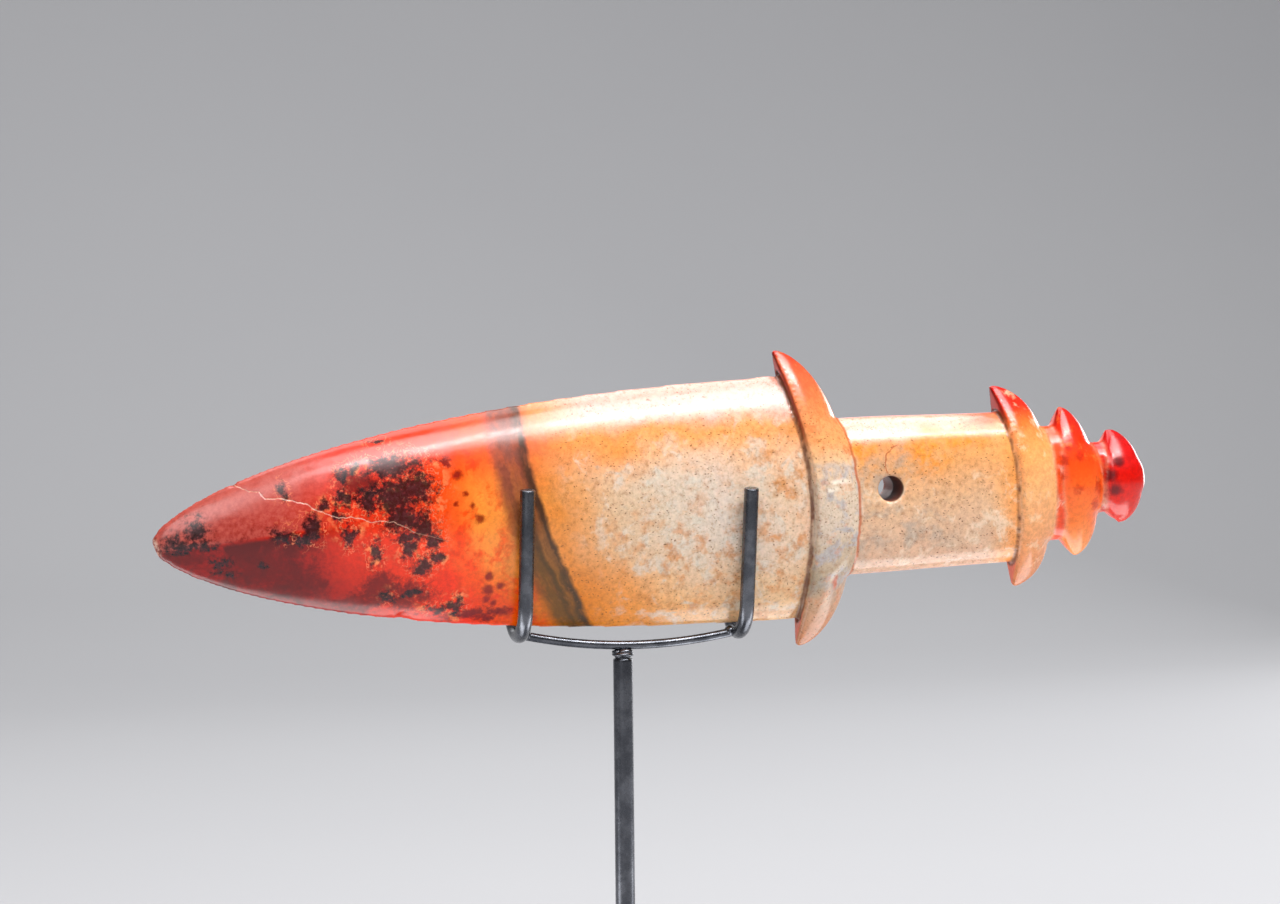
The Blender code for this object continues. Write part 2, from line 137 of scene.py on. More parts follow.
def roll_skin(along, around, place):
    """A closed skin from a grid. place(share, turn) says where each point goes."""
    skin = bmesh.new()
    bmesh.ops.create_grid(skin, x_segments=along, y_segments=around, size=1)
    for point in skin.verts:
        point.co = place((point.co.x + 1) / 2, math.pi * (point.co.y + 1))
    bmesh.ops.remove_doubles(skin, verts=skin.verts, dist=WELD)
    ends = [edge for edge in skin.edges if edge.is_boundary]
    bmesh.ops.edgeloop_fill(skin, edges=ends)
    bmesh.ops.recalc_face_normals(skin, faces=skin.faces)
    return skin


def leaf_place(share, turn):
    """A point of the blade: share runs from the tip into the guard."""
    last = BLADE_LENGTH - MM
    u = TIP_CUT + (last - TIP_CUT) * share**1.5
    v = middle(u) + half_width(u) * math.cos(turn)
    w = math.copysign(leaf_depth(u, v), math.sin(turn))
    slant = TIP_SLANT * max(0.0, 1 - share * 60)
    return stone_point(u - slant * (v - middle(u)), v, w)


leaf = roll_skin(220, 120, leaf_place)
print("leaf:", len(leaf.verts), "points")

# %% [markdown]
# ## Grip and necks
#
# Behind the guard a softly squared oval grip runs to the flange, and two thinner necks
# run on inside the collar and the pommel. They are one rod that gets thinner in steps,
# so a short list of stations and a smooth blend between them describes all three.

# %% Roll the rod inside the carved end
GUARD_AT = BLADE_LENGTH
GRIP_AT = GUARD_AT + 0.0123
FLANGE_AT = GRIP_AT + 0.0413
COLLAR_AT = FLANGE_AT + 0.0107
POMMEL_AT = COLLAR_AT + 0.0133
END_AT = POMMEL_AT + 0.0117
ROD = (
    # u, height, thickness, middle
    (GUARD_AT + 0.00123, 0.0390, 0.0176, 0.0004),
    (GRIP_AT, 0.0390, 0.0176, 0.0004),
    (FLANGE_AT, 0.0378, 0.0176, 0.0001),
    (COLLAR_AT - 0.00107, 0.0288, 0.0142, 0.0003),
    (COLLAR_AT + 0.00266, 0.0288, 0.0142, 0.0003),
    (POMMEL_AT - 0.00133, 0.0178, 0.0104, 0.0010),
    (POMMEL_AT + 0.00234, 0.0178, 0.0104, 0.0010),
    (POMMEL_AT + 0.00644, 0.0089, 0.0052, 0.0010),
)


def rod_at(u):
    """Half height, half thickness and middle of the rod at u."""
    u = min(max(u, ROD[0][0]), ROD[-1][0])
    for before, after in zip(ROD, ROD[1:]):
        if u <= after[0]:
            break
    share = (1 - math.cos(math.pi * (u - before[0]) / (after[0] - before[0]))) / 2
    height, thick, mid = (before[i] + (after[i] - before[i]) * share for i in (1, 2, 3))
    return height / 2, thick / 2, mid


def rod_depth(u, v):
    """How far the rod's face stands out at a point, 0 at its edge."""
    half, thick, mid = rod_at(u)
    across = min(abs(v - mid) / half, 1.0)
    return thick * (1 - across**2.4) ** 0.52


def rod_place(share, turn):
    """A point of the rod: share runs from inside the guard to inside the pommel."""
    u = ROD[0][0] + (ROD[-1][0] - ROD[0][0]) * share
    half, _, mid = rod_at(u)
    v = mid + half * math.cos(turn)
    return stone_point(u, v, math.copysign(rod_depth(u, v), math.sin(turn)))


rod = roll_skin(180, 110, rod_place)
print("grip and necks:", round((ROD[-1][0] - ROD[0][0]) / MM, 1), "mm long")

# %% [markdown]
# ## The cord hole
#
# The maker drilled the grip from both faces, and the two drills met near the middle,
# a little off each other. Two cylinders cut the rod the same way, so the small ledge
# inside the hole comes by itself. An exact Boolean keeps the rim clean.

# %% Drill the grip from both faces
HOLE_DIAMETER = 0.0062
HOLE_U = GRIP_AT + 0.0082
HOLE_V = 0.0022
DRILLS_APART = 0.0003
DRILL_LENGTH = 0.02
DRILL_MIDDLE = 0.0097


def as_object(skin, name):
    """Store a bmesh as an object in the scene."""
    mesh = bpy.data.meshes.new(name)
    skin.to_mesh(mesh)
    skin.free()
    piece = bpy.data.objects.new(name, mesh)
    bpy.context.scene.collection.objects.link(piece)
    return piece


def shape_with_modifiers(piece):
    """The piece's shape as its modifiers leave it, as a new bmesh. The piece goes."""
    graph = bpy.context.evaluated_depsgraph_get()
    shaped = bmesh.new()
    shaped.from_mesh(bpy.data.meshes.new_from_object(piece.evaluated_get(graph)))
    bpy.data.objects.remove(piece)
    return shaped


def drill(face):
    """One drill, from the shown face (-1) or the far face (1) to past the middle."""
    tool = bmesh.new()
    radius = HOLE_DIAMETER / 2
    bmesh.ops.create_cone(
        tool, cap_ends=True, segments=64, radius1=radius, radius2=radius, depth=DRILL_LENGTH
    )
    bmesh.ops.rotate(tool, verts=tool.verts, matrix=Matrix.Rotation(math.pi / 2, 3, "X"))
    place = (HOLE_U + face * DRILLS_APART / 2, face * DRILL_MIDDLE, HOLE_V)
    bmesh.ops.translate(tool, verts=tool.verts, vec=place)
    return as_object(tool, "drill")


rod_piece = as_object(rod, "rod")
drills = [drill(-1), drill(1)]
for tool in drills:
    cut = rod_piece.modifiers.new("Drill", "BOOLEAN")
    cut.operation = "DIFFERENCE"
    cut.solver = "EXACT"
    cut.object = tool
rod = shape_with_modifiers(rod_piece)
for tool in drills:
    bpy.data.objects.remove(tool)
print("drilled grip:", len(rod.faces), "faces")

# %% [markdown]
# ## Four crescents
#
# Guard, flange, collar and pommel are the same idea four times: a raised crescent that
# crosses the stone and ends in two horns that sweep towards the tip. Each is rolled from
# bottom horn to top horn. At each height its section starts at a steep front shoulder,
# reaches its crest soon and falls back in a hollow onto the stone behind it.

# %% The crescents' sizes
CRESCENTS = {
    # front, rear, half depth, crest's share, fall, then for each horn its reach, its
    # front sweep and how late that comes, and its rear sweep and how late that comes
    "guard": (GUARD_AT, GRIP_AT, 0.0119, 0.10, 0.80,
              (0.03765, 0.0063, 1.5, 0.0184, 2.2), (0.03585, 0.0035, 1.5, 0.0153, 2.8)),
    "flange": (FLANGE_AT, COLLAR_AT, 0.0106, 0.12, 0.85,
               (0.0258, 0.0039, 1.7, 0.0145, 3.1), (0.0252, 0.0, 1.5, 0.0108, 4.0)),
    "collar": (COLLAR_AT + 0.000266, POMMEL_AT, 0.0083, 0.34, 0.85,
               (0.0194, -0.0033, 3.5, 0.0097, 1.8), (0.0184, -0.0059, 3.3, 0.0070, 2.8)),
    "pommel": (POMMEL_AT, END_AT, 0.0070, 0.32, 0.50,
               (0.0130, -0.0027, 2.9, 0.0084, 2.0), (0.0108, -0.0053, 3.3, 0.0059, 2.2)),
}
SHOULDER_SHARE = 0.36
FALL_SHARE = 0.92


def crescent_place(name, share, turn):
    """A point of a crescent: share runs from its bottom horn to its top horn."""
    front_at, rear_at, depth, crest_share, fall, top, bottom = CRESCENTS[name]
    climb = math.sin(math.pi / 2 * (2 * share - 1))
    reach, front_sweep, front_late, rear_sweep, rear_late = top if climb >= 0 else bottom
    v, up = reach * climb, abs(climb)
    front = front_at - front_sweep * up**front_late
    rear = rear_at - rear_sweep * (1 - (1 - min(up, 1.0) ** rear_late) ** 0.60)
    crest = depth * (1 - (up / 1.03) ** 2) ** 1.05
    back = min(max(0.0005, rod_depth(rear, v) - 0.0004), 0.9 * crest)
    side = 1 if turn <= math.pi else -1
    round_share = turn / math.pi if side > 0 else 2 - turn / math.pi
    if round_share < SHOULDER_SHARE:
        bend = math.pi / 2 * round_share / SHOULDER_SHARE
        along, w = crest_share * (1 - math.cos(bend)), crest * math.sin(bend) ** 0.5
    elif round_share < FALL_SHARE:
        bend = math.pi / 2 * (round_share - SHOULDER_SHARE) / (FALL_SHARE - SHOULDER_SHARE)
        along = crest_share + (1 - crest_share) * math.sin(bend)
        w = back + (crest - back) * max(0.0, math.cos(bend)) ** (2 * fall)
    else:
        along, w = 1.0, back * (1 - round_share) / (1 - FALL_SHARE)
    return stone_point(front + along * (rear - front), v, side * w)


print("crescents:", ", ".join(CRESCENTS))

# %% Roll the four crescents
forms = {"leaf": leaf, "grip": rod}
for name in CRESCENTS:
    forms[name] = roll_skin(110, 96, partial(crescent_place, name))
print({name: len(skin.faces) for name, skin in forms.items()})

# %% [markdown]
# ## One stone
#
# The six skins overlap, but the real thing is one stone with small worn hollows where
# the forms meet. A voxel Remesh melts overlapping skins into one even skin. It also
# leaves faint steps and breaks a crumb off a thin horn tip. So the crumbs are deleted,
# each new point is pulled back onto the nearest true surface, and a few smoothing passes
# then round the creases as a maker's abrasive does.

# %% Melt the forms into one skin
VOXEL = 0.00060
joined = bmesh.new()
for skin in forms.values():
    part = bpy.data.meshes.new("form")
    skin.to_mesh(part)
    joined.from_mesh(part)
surface_ends, total = {}, 0
for name, skin in forms.items():
    total += len(skin.faces)
    surface_ends[name] = total
    skin.free()
true_surface = BVHTree.FromBMesh(joined)
rough_stone = as_object(joined, "rough_stone")
remesh = rough_stone.modifiers.new("Melt", "REMESH")
remesh.mode = "VOXEL"
remesh.voxel_size = VOXEL
stone = shape_with_modifiers(rough_stone)
unseen, skins = set(stone.verts), []
while unseen:
    fresh, skin = {unseen.pop()}, set()
    while fresh:
        skin |= fresh
        fresh = {edge.other_vert(point) for point in fresh for edge in point.link_edges} - skin
    unseen -= skin
    skins.append(skin)
main_skin = max(skins, key=len)
crumbs = [point for point in stone.verts if point not in main_skin]
bmesh.ops.delete(stone, geom=crumbs, context="VERTS")
print("one skin:", len(stone.verts), "points and", len(skins) - 1, "crumb deleted")

# %% Pull the points back onto the true surface
SNAP_REACH = 0.0008
SAME_WAY = 0.90
ROUGHLY_THAT_WAY = 0.3
OUTLINE_WITHIN = 0.70
OUTLINE_UP_TO = BLADE_LENGTH - 0.012


def smooth(points, rounds):
    """Average each point with its neighbours."""
    for _ in range(rounds):
        bmesh.ops.smooth_vert(
            stone, verts=points, factor=0.5, use_axis_x=True, use_axis_y=True, use_axis_z=True
        )


stone.normal_update()
loose = []
for point in stone.verts:
    spot, way, _, distance = true_surface.find_nearest(point.co)
    if distance < SNAP_REACH and way.dot(point.normal) > SAME_WAY:
        point.co = spot
    else:
        loose.append(point)
for _ in range(3):
    smooth(loose, 2)
    stone.normal_update()
    for point in loose:
        spot, way, _, distance = true_surface.find_nearest(point.co)
        if distance < SNAP_REACH / 2 and way.dot(point.normal) > ROUGHLY_THAT_WAY:
            point.co = spot
smooth(loose, 3)
smooth(stone.verts[:], 2)
stone.normal_update()
outline = [
    point for point in stone.verts
    if abs(point.normal.y) < OUTLINE_WITHIN and point.co.x < OUTLINE_UP_TO
]
smooth(outline, 5)
print("points on creases and sharp edges:", len(loose), "of", len(stone.verts))

# %% [markdown]
# ## Wear and small losses
#
# The upper half of the blade carries a fine crack that starts at a nick in the edge. The
# mesh is coarser than the crack is wide, so only the faces near its line are divided,
# twice, and the points on the line then sink a little. The tip has lost a chip, which is
# one flat cut here, and a groove is ground in front of the guard and the flange. A slow
# ripple, a few hundredths of a millimetre deep, keeps the polish from looking machined.

# %% The lines and places of the wear
CRACK = [
    # u and v in millimetres
    (20.2, 13.1), (22.6, 11.9), (24.2, 11.3), (26.2, 11.0), (27.7, 9.3), (31.4, 9.3), (33.9, 8.5),
    (36.9, 7.7), (39.1, 6.1), (41.6, 5.0), (44.4, 3.9), (47.0, 3.9), (49.6, 3.5), (51.8, 2.3),
    (54.0, 2.6), (57.3, 2.1), (60.1, 0.7), (62.4, -0.8), (66.4, -2.0), (70.2, -3.4),
]
CRACK_SPAN = (0.019, 0.072)
CRACK_REACH = 1.0
CRACK_HALF_WIDTH = 0.17
CRACK_DEPTH = 0.10
FAR = 9.0
NICKS = [
    # u, v, radius and depth in millimetres
    (20.4, 13.3, 1.0, 0.35), (59.5, -21.9, 2.3, 0.45), (56.5, -21.3, 1.2, 0.2),
    (0.6, -2.6, 1.6, 0.35), (1.2, 2.9, 1.1, 0.25), (119.0, -29.0, 0.9, 0.15),
    (242.8, -9.7, 0.9, 0.2),
]
CHIP_AT = Vector((0.0013, 0.0, 0.0))
CHIP_WAY = Vector((-0.90, -0.36, -0.22)).normalized()
GROOVES = {"guard": (1.9, 0.55), "flange": (1.6, 0.30)}
RIPPLE_DEPTH = 0.035


def crack_distance(point):
    """Distance in millimetres from a point of the shown face to the crack's line."""
    if point.y > 0 or not CRACK_SPAN[0] < point.x < CRACK_SPAN[1]:
        return FAR
    here = Vector((point.x / MM, point.z / MM))
    wander = 0.25 * noise.noise(Vector((here.x * 0.9, 0, 0)))
    here.y += wander + 0.10 * noise.noise(Vector((here.x * 2.9, 5, 0)))
    nearest = FAR
    for start, end in zip(CRACK, CRACK[1:]):
        a, run = Vector(start), Vector(end) - Vector(start)
        share = min(max((here - a).dot(run) / run.length_squared, 0.0), 1.0)
        nearest = min(nearest, (here - a - run * share).length)
    return nearest


def groove_depth(point):
    """How deep the groove in front of the guard or the flange is here, in millimetres."""
    for name, (width, deepest) in GROOVES.items():
        front_at, _, _, _, _, top, bottom = CRESCENTS[name]
        reach, sweep, late = (top if point.z >= 0 else bottom)[:3]
        line = front_at - sweep * min(abs(point.z) / reach, 1.0) ** late
        before = (line - point.x) / MM
        if 0 < before < width:
            return deepest * (1 - before / width) ** 1.5
    return 0.0


print("crack:", len(CRACK), "points, nicks:", len(NICKS))

# %% Cut the crack, the nicks, the grooves and the chip
for _ in range(2):
    near = {p for p in stone.verts if p.co.y < 0 and crack_distance(p.co) < CRACK_REACH}
    edges = [edge for edge in stone.edges if near.issuperset(edge.verts)]
    bmesh.ops.subdivide_edges(stone, edges=edges, cuts=1, use_grid_fill=True)
stone.normal_update()
sunk = 0
for point in stone.verts:
    distance = crack_distance(point.co)
    if distance < CRACK_HALF_WIDTH:
        point.co -= point.normal * CRACK_DEPTH * MM * (1 - distance / CRACK_HALF_WIDTH)
        sunk += 1
    for u, v, radius, depth in NICKS:
        away = math.hypot(point.co.x / MM - u, point.co.z / MM - v) / radius
        if away < 1:
            point.co -= point.normal * depth * MM * (1 - away**2)
    ripple = noise.noise(point.co / MM * 0.09) + 0.4 * noise.noise(point.co / MM * 0.31)
    point.co += point.normal * RIPPLE_DEPTH * MM * (ripple - 0.9)
    point.co -= point.normal * groove_depth(point.co) * MM
    past_chip = (point.co - CHIP_AT).dot(CHIP_WAY)
    if past_chip > 0:
        point.co -= CHIP_WAY * past_chip
print("points sunk along the crack:", sunk)

# %% [markdown]
# ## What the surface knows about itself
#
# Painted shade darkens the hollows and some faces that turn towards the tip, and a painted
# glow marks the thin edges where light would pass through. These follow the shape, so they
# are measured on the mesh and kept as attributes that the material reads: how hollow each
# point is, how far it faces away from the two broad faces or towards the tip, how near it
# is to the crack and the chip, and which carved form it belongs to.

# %% Measure hollows, rims and forms
stone.verts.index_update()
stone.verts.ensure_lookup_table()
stone.normal_update()
spots = np.array([point.co for point in stone.verts])
normals = np.array([point.normal for point in stone.verts])
ends = np.array([[edge.verts[0].index, edge.verts[1].index] for edge in stone.edges])
both_ways = np.concatenate([ends, ends[:, ::-1]])
neighbours = np.bincount(both_ways[:, 0], minlength=len(spots))


def neighbour_mean(values):
    """The mean of each point's neighbours' values."""
    total = np.bincount(both_ways[:, 0], weights=values[both_ways[:, 1]], minlength=len(spots))
    return total / neighbours


def softened(values, rounds=3):
    """Each point's value averaged with its neighbours' a few times."""
    for _ in range(rounds):
        values = (values + neighbour_mean(values)) / 2
    return values


bulge = np.stack([neighbour_mean(spots[:, i]) for i in range(3)], axis=1) - spots
lengths = np.linalg.norm(spots[both_ways[:, 1]] - spots[both_ways[:, 0]], axis=1)
spacing = np.bincount(both_ways[:, 0], weights=lengths, minlength=len(spots)) / neighbours
crack_line = np.array([crack_distance(point.co) for point in stone.verts])
past_chip = (spots - np.array(CHIP_AT)) @ np.array(CHIP_WAY)
form_names = list(surface_ends)
last_faces = np.array(list(surface_ends.values()))
faces = np.array([true_surface.find_nearest(point.co)[2] for point in stone.verts])
form_of = np.searchsorted(last_faces, faces, side="right")
measures = {
    "hollow": softened(np.maximum(0, (bulge * normals).sum(axis=1) / spacing)),
    "rim": softened(1 - np.abs(normals[:, 1])),
    "to_tip": softened(np.maximum(0, -normals[:, 0])),
    "crack": np.maximum(0, 1 - crack_line / (2 * CRACK_HALF_WIDTH)),
    "chip": softened((past_chip > -0.06 * MM).astype(float), 1),
}
for i, name in enumerate(form_names[1:], 1):
    measures["on_" + name] = softened((form_of == i).astype(float))
print("most:", {name: round(float(values.max()), 3) for name, values in measures.items()})

# %% [markdown]
# ## Marks with a place of their own
#
# The red third carries slate black blotches, maroon patches and a cluster of small dots,
# and the carved end a few dark spots. Each has a place and a size here, in millimetres of
# the stone's own axes. The mesh keeps how far every point is from the nearest mark of its
# kind, stirred by noise so that no outline stays an oval. That noise would start anew each
# run, so it gets a seed. The material adds the grain.

# %% Place the blotches
SLATE = [
    # u, v, half length, half height
    (10.7, 2.9, 3.0, 3.2), (5.2, 0.3, 3.4, 2.3), (8.6, -1.2, 7.4, 1.2), (15.8, -5.6, 2.8, 1.7),
    (18.4, -8.1, 2.0, 1.1), (31.8, 10.8, 1.2, 2.3), (30.6, 0.6, 2.6, 1.8), (37.9, 1.9, 2.0, 3.2),
    (35.6, -0.9, 2.1, 1.4), (40.6, 7.1, 1.8, 1.5), (46.1, 13.9, 1.6, 1.6), (45.9, 8.5, 2.1, 2.0),
    (44.4, 4.3, 1.8, 1.3), (46.3, -0.7, 1.7, 2.2), (52.6, -4.6, 1.6, 2.7), (51.7, 7.8, 2.6, 3.0),
    (58.5, 8.1, 6.4, 4.8), (60.1, 2.9, 5.2, 3.2), (63.6, 9.8, 4.6, 4.0), (64.6, -0.1, 2.8, 2.7),
    (60.2, -5.0, 1.7, 2.3), (63.6, -8.9, 2.1, 1.9), (67.1, -6.8, 1.8, 2.0), (66.6, -3.3, 2.0, 1.7),
    (60.9, -1.5, 3.1, 1.9), (55.2, 20.8, 1.6, 0.9), (58.2, 15.2, 7.4, 2.6),
    (71.7, -19.3, 2.1, 2.1), (67.4, -19.8, 2.6, 1.3), (55.2, -16.0, 1.8, 1.5),
    (61.0, -15.4, 2.6, 1.2), (26.0, -6.5, 1.2, 0.8), (48.6, 15.5, 1.4, 1.2),
]
MAROON = [
    (54.1, -13.7, 4.4, 3.5), (60.4, -15.8, 5.4, 4.0), (51.0, -17.2, 8.8, 2.4),
    (44.5, -16.5, 3.2, 1.6), (25.7, -7.4, 11.5, 6.6), (35.0, -10.4, 5.6, 4.8),
    (70.6, 16.1, 1.6, 1.4), (39.8, -12.3, 3.0, 2.4), (49.0, 12.0, 5.4, 3.4), (8.0, -3.5, 6.0, 2.4),
    (75.5, -21.8, 7.5, 1.3),
]
DOTS = [
    (79.8, -12.4, 1.1, 1.1), (79.5, -15.8, 1.35, 1.35), (82.5, -14.9, 0.9, 0.9),
    (79.1, -17.9, 0.95, 0.95), (77.9, 1.7, 1.2, 1.1), (73.4, 12.4, 1.3, 1.2),
    (74.8, 7.8, 0.8, 0.7), (76.4, 4.9, 0.7, 0.7), (72.4, 5.5, 0.6, 0.8), (80.8, -19.2, 0.9, 0.8),
    (75.0, -21.6, 2.2, 1.0), (83.0, -21.4, 2.8, 1.1), (79.6, -22.6, 1.8, 0.9),
    (226.8, 6.2, 1.5, 1.4), (225.9, 2.5, 1.1, 1.1), (230.4, -1.4, 1.3, 1.2),
    (231.5, 7.2, 1.3, 1.2), (228.4, 9.6, 0.9, 0.9), (239.1, 1.7, 2.0, 1.7),
    (240.7, -2.1, 1.6, 1.3), (236.1, -1.1, 1.1, 2.4), (235.2, -5.1, 1.2, 1.6),
    (242.0, 5.0, 1.5, 1.3),
]
MARK_DEPTH = 12.0
FACE_DEPTH = 9.0
NO_MARK = 3.0
STIR_SEED = 5


def away_from(marks, lump, push):
    """How far each point is from the nearest mark: 0 at its middle, 1 at its edge."""
    stir = np.array([noise.noise_vector(point.co / MM / lump) for point in stone.verts]) * push
    nearest = np.full(len(spots), NO_MARK)
    for mark_u, mark_v, length, tall in marks:
        across_u = (spots[:, 0] / MM + stir[:, 0] - mark_u) / length
        inward = (spots[:, 1] / MM + FACE_DEPTH) / MARK_DEPTH
        across_v = (spots[:, 2] / MM + stir[:, 2] - mark_v) / tall
        nearest = np.minimum(nearest, np.sqrt(across_u**2 + inward**2 + across_v**2))
    return nearest


noise.seed_set(STIR_SEED)
measures["slate"] = away_from(SLATE, 2.6, 1.5)
measures["maroon"] = away_from(MAROON, 4.5, 2.2)
measures["dots"] = away_from(DOTS, 1.2, 0.3)
print("marks:", len(SLATE), "slate,", len(MAROON), "maroon,", len(DOTS), "dots")

# %% Lay the stone on the cradle
def spread(piece, axis):
    """From where to where a piece reaches along an axis."""
    reach = [corner.co[axis] for corner in piece.data.vertices]
    return rounded((min(reach), max(reach)))


def finish_piece(skin, name, node):
    """Store a finished piece that stands for a CAD node."""
    bmesh.ops.recalc_face_normals(skin, faces=skin.faces)
    piece = as_object(skin, name)
    piece.data.shade_smooth()
    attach(piece, "root")
    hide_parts(node)
    return piece


bmesh.ops.transform(stone, matrix=lay_down, verts=stone.verts)
carved_stone = finish_piece(stone, "carved_stone", "jade_blade")
for name, values in measures.items():
    attribute = carved_stone.data.attributes.new(name, "FLOAT", "POINT")
    attribute.data.foreach_set("value", values.astype(np.float32))
triangles = sum(len(face.vertices) - 2 for face in carved_stone.data.polygons)
print(carved_stone.name, triangles, "triangles, z", spread(carved_stone, 2))

# %% [markdown]
# ## The hooks
#
# The two hooks are plain round wire: down one face, round under the blade's edge and up
# the other. A circle that is spun through the bend and then extruded up both arms takes
# the same steps as the smith's hands, and a small bevel takes the burr off each cut end.
# The arms lean out just enough to fill the space that the CAD gives them.

# %% Bend the hooks
WIRE = 0.0036
HOOK_RADIUS = 0.0090
ARM_RISE = 0.0361
END_BREAK = 0.00030
MOST_LEAN = math.radians(40)
LEAN_STEP = math.radians(0.02)


def arm_lean(outer):
    """The arms' lean that brings their outer side as far out as the CAD's."""
    lean = 0.0
    while lean < MOST_LEAN:
        rise = ARM_RISE - HOOK_RADIUS * (1 - math.sin(lean))
        reach = HOOK_RADIUS * math.cos(lean) + rise * math.tan(lean)
        if reach + WIRE / 2 * math.cos(lean) >= outer:
            break
        lean += LEAN_STEP
    return lean, reach, rise


def bent_hook(node):
    """A hook of round wire in the place of its CAD node."""
    low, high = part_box(node)
    x, bottom = (low[0] + high[0]) / 2, low[2] + WIRE / 2
    lean, reach, rise = arm_lean((high[1] - low[1]) / 2)
    centre = Vector((x, 0, bottom + HOOK_RADIUS))
    skin = bmesh.new()
    bmesh.ops.create_circle(skin, segments=28, radius=WIRE / 2)
    bmesh.ops.translate(skin, verts=skin.verts, vec=centre - Vector((0, HOOK_RADIUS, 0)))
    turn = Matrix.Rotation(lean, 3, "X")
    bmesh.ops.rotate(skin, verts=skin.verts, cent=centre, matrix=turn)
    first = list(skin.edges)
    bend = bmesh.ops.spin(
        skin, geom=skin.verts[:] + skin.edges[:], cent=centre, axis=(1, 0, 0),
        angle=math.pi - 2 * lean, steps=40,
    )
    last = [part for part in bend["geom_last"] if isinstance(part, bmesh.types.BMEdge)]
    length = rise / math.cos(lean)
    for rim, side in ((first, -1), (last, 1)):
        arm = bmesh.ops.extrude_edge_only(skin, edges=rim)["geom"]
        ends = [part for part in arm if isinstance(part, bmesh.types.BMVert)]
        up = Vector((0, side * math.sin(lean), math.cos(lean)))
        bmesh.ops.translate(skin, verts=ends, vec=up * length)
        cap = [part for part in arm if isinstance(part, bmesh.types.BMEdge)]
        cap = [edge for edge in cap if edge.is_boundary]
        bmesh.ops.edgeloop_fill(skin, edges=cap)
        bmesh.ops.bevel(skin, geom=cap, offset=END_BREAK, segments=3, profile=0.5, affect="EDGES")
    return skin


wires = {}
for side in ("left", "right"):
    wires[side] = finish_piece(bent_hook(side + "_hook"), side + "_wire", side + "_hook")
    print(side, "hook y", spread(wires[side], 1), "z", spread(wires[side], 2))

# %% [markdown]
# ## The bar and its welds
#
# A thinner bar joins the hooks in a shallow sag. It is part of a large circle, so the
# same circle-and-spin makes it, about a centre far above. Where it meets each hook the
# smith left a small bead of weld: a ball, flattened and roughened a little.

# %% Spin the bar along its sag
BAR = 0.0022
BAR_SAG = 0.0028
BAR_OVERLAP = 0.0006
WELD_SIZE = 0.0013
BEAD_IN, BEAD_UP = 0.0009, 0.0002


def weld_bead(skin, place, stretch):
    """A small lump of weld, never quite round."""
    bead = bmesh.ops.create_icosphere(skin, subdivisions=3, radius=WELD_SIZE)["verts"]
    for point in bead:
        point.co *= 1 + 0.16 * noise.noise(point.co * 900 + Vector(place) * 100)
        point.co = Vector((point.co[i] * stretch[i] for i in range(3)))
    bmesh.ops.translate(skin, verts=bead, vec=place)


low_left, high_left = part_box("left_hook")
low_right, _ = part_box("right_hook")
start = Vector((high_left[0] - BAR_OVERLAP, 0, low_left[2] + WIRE / 2))
end = Vector((low_right[0] + BAR_OVERLAP, 0, low_right[2] + WIRE / 2))
chord = end - start
sag_radius = chord.length**2 / (8 * BAR_SAG) + BAR_SAG / 2
half_angle = math.asin(chord.length / 2 / sag_radius)
straight_up = Vector((-chord.z, 0, chord.x)).normalized()
sag_centre = (start + end) / 2 + straight_up * (sag_radius - BAR_SAG)
bar_skin = bmesh.new()
bmesh.ops.create_circle(bar_skin, segments=20, radius=BAR / 2)
spoke = (start - sag_centre).normalized()
along_bar = spoke.cross(Vector((0, 1, 0)))
facing = Vector((0, 0, 1)).rotation_difference(along_bar).to_matrix()
bmesh.ops.rotate(bar_skin, verts=bar_skin.verts, matrix=facing)
bmesh.ops.translate(bar_skin, verts=bar_skin.verts, vec=start)
bmesh.ops.spin(
    bar_skin, geom=bar_skin.verts[:] + bar_skin.edges[:], cent=sag_centre, axis=(0, -1, 0),
    angle=2 * half_angle, steps=48,
)
bmesh.ops.edgeloop_fill(bar_skin, edges=[edge for edge in bar_skin.edges if edge.is_boundary])
for bar_end, inward in ((start, BEAD_IN), (end, -BEAD_IN)):
    weld_bead(bar_skin, bar_end + Vector((inward, 0, BEAD_UP)), (0.9, 1.15, 1.1))
bar = finish_piece(bar_skin, "sagging_bar", "cross_bar")
print("bar x", spread(bar, 0), "z", spread(bar, 2))

# %% [markdown]
# ## The post
#
# The post is a rod with a bead of weld on its top, which the bar rests in. Both are round
# about one upright line, so half of the outline is enough: it is spun a full turn.

# %% Turn the post
low_post, high_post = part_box("post")
ROD_RADIUS = 0.0024
FOOT_BREAK = 0.0003
POST_OUTLINE = [
    # radius, then height below the post's top
    (0.0, 0.0), (0.0009, -0.00002), (0.0017, 0.00012), (0.0024, 0.00042), (0.0027, 0.00078),
    (0.0026, 0.00112), (0.0022, 0.00138), (0.00195, 0.00150), (0.00200, 0.00175),
    (0.00226, 0.00192), (0.00238, 0.00215), (ROD_RADIUS, 0.0026), (ROD_RADIUS, 0.0400),
    (ROD_RADIUS, 0.0800),
]
post_skin = bmesh.new()
foot_z, top_z = low_post[2], high_post[2]
outline = [(radius, top_z - drop) for radius, drop in POST_OUTLINE]
outline += [(ROD_RADIUS, foot_z + FOOT_BREAK), (ROD_RADIUS - FOOT_BREAK, foot_z), (0.0, foot_z)]
corners = [post_skin.verts.new((radius, 0, height)) for radius, height in outline]
line = [post_skin.edges.new(pair) for pair in zip(corners, corners[1:])]
bmesh.ops.spin(
    post_skin, geom=corners + line, cent=(0, 0, 0), axis=(0, 0, 1), angle=2 * math.pi, steps=56,
    use_merge=True,
)
bmesh.ops.remove_doubles(post_skin, verts=post_skin.verts, dist=WELD)
weld_bead(post_skin, (0.0004, -0.0006, top_z - 0.0002), (1.5, 1.1, 0.7))
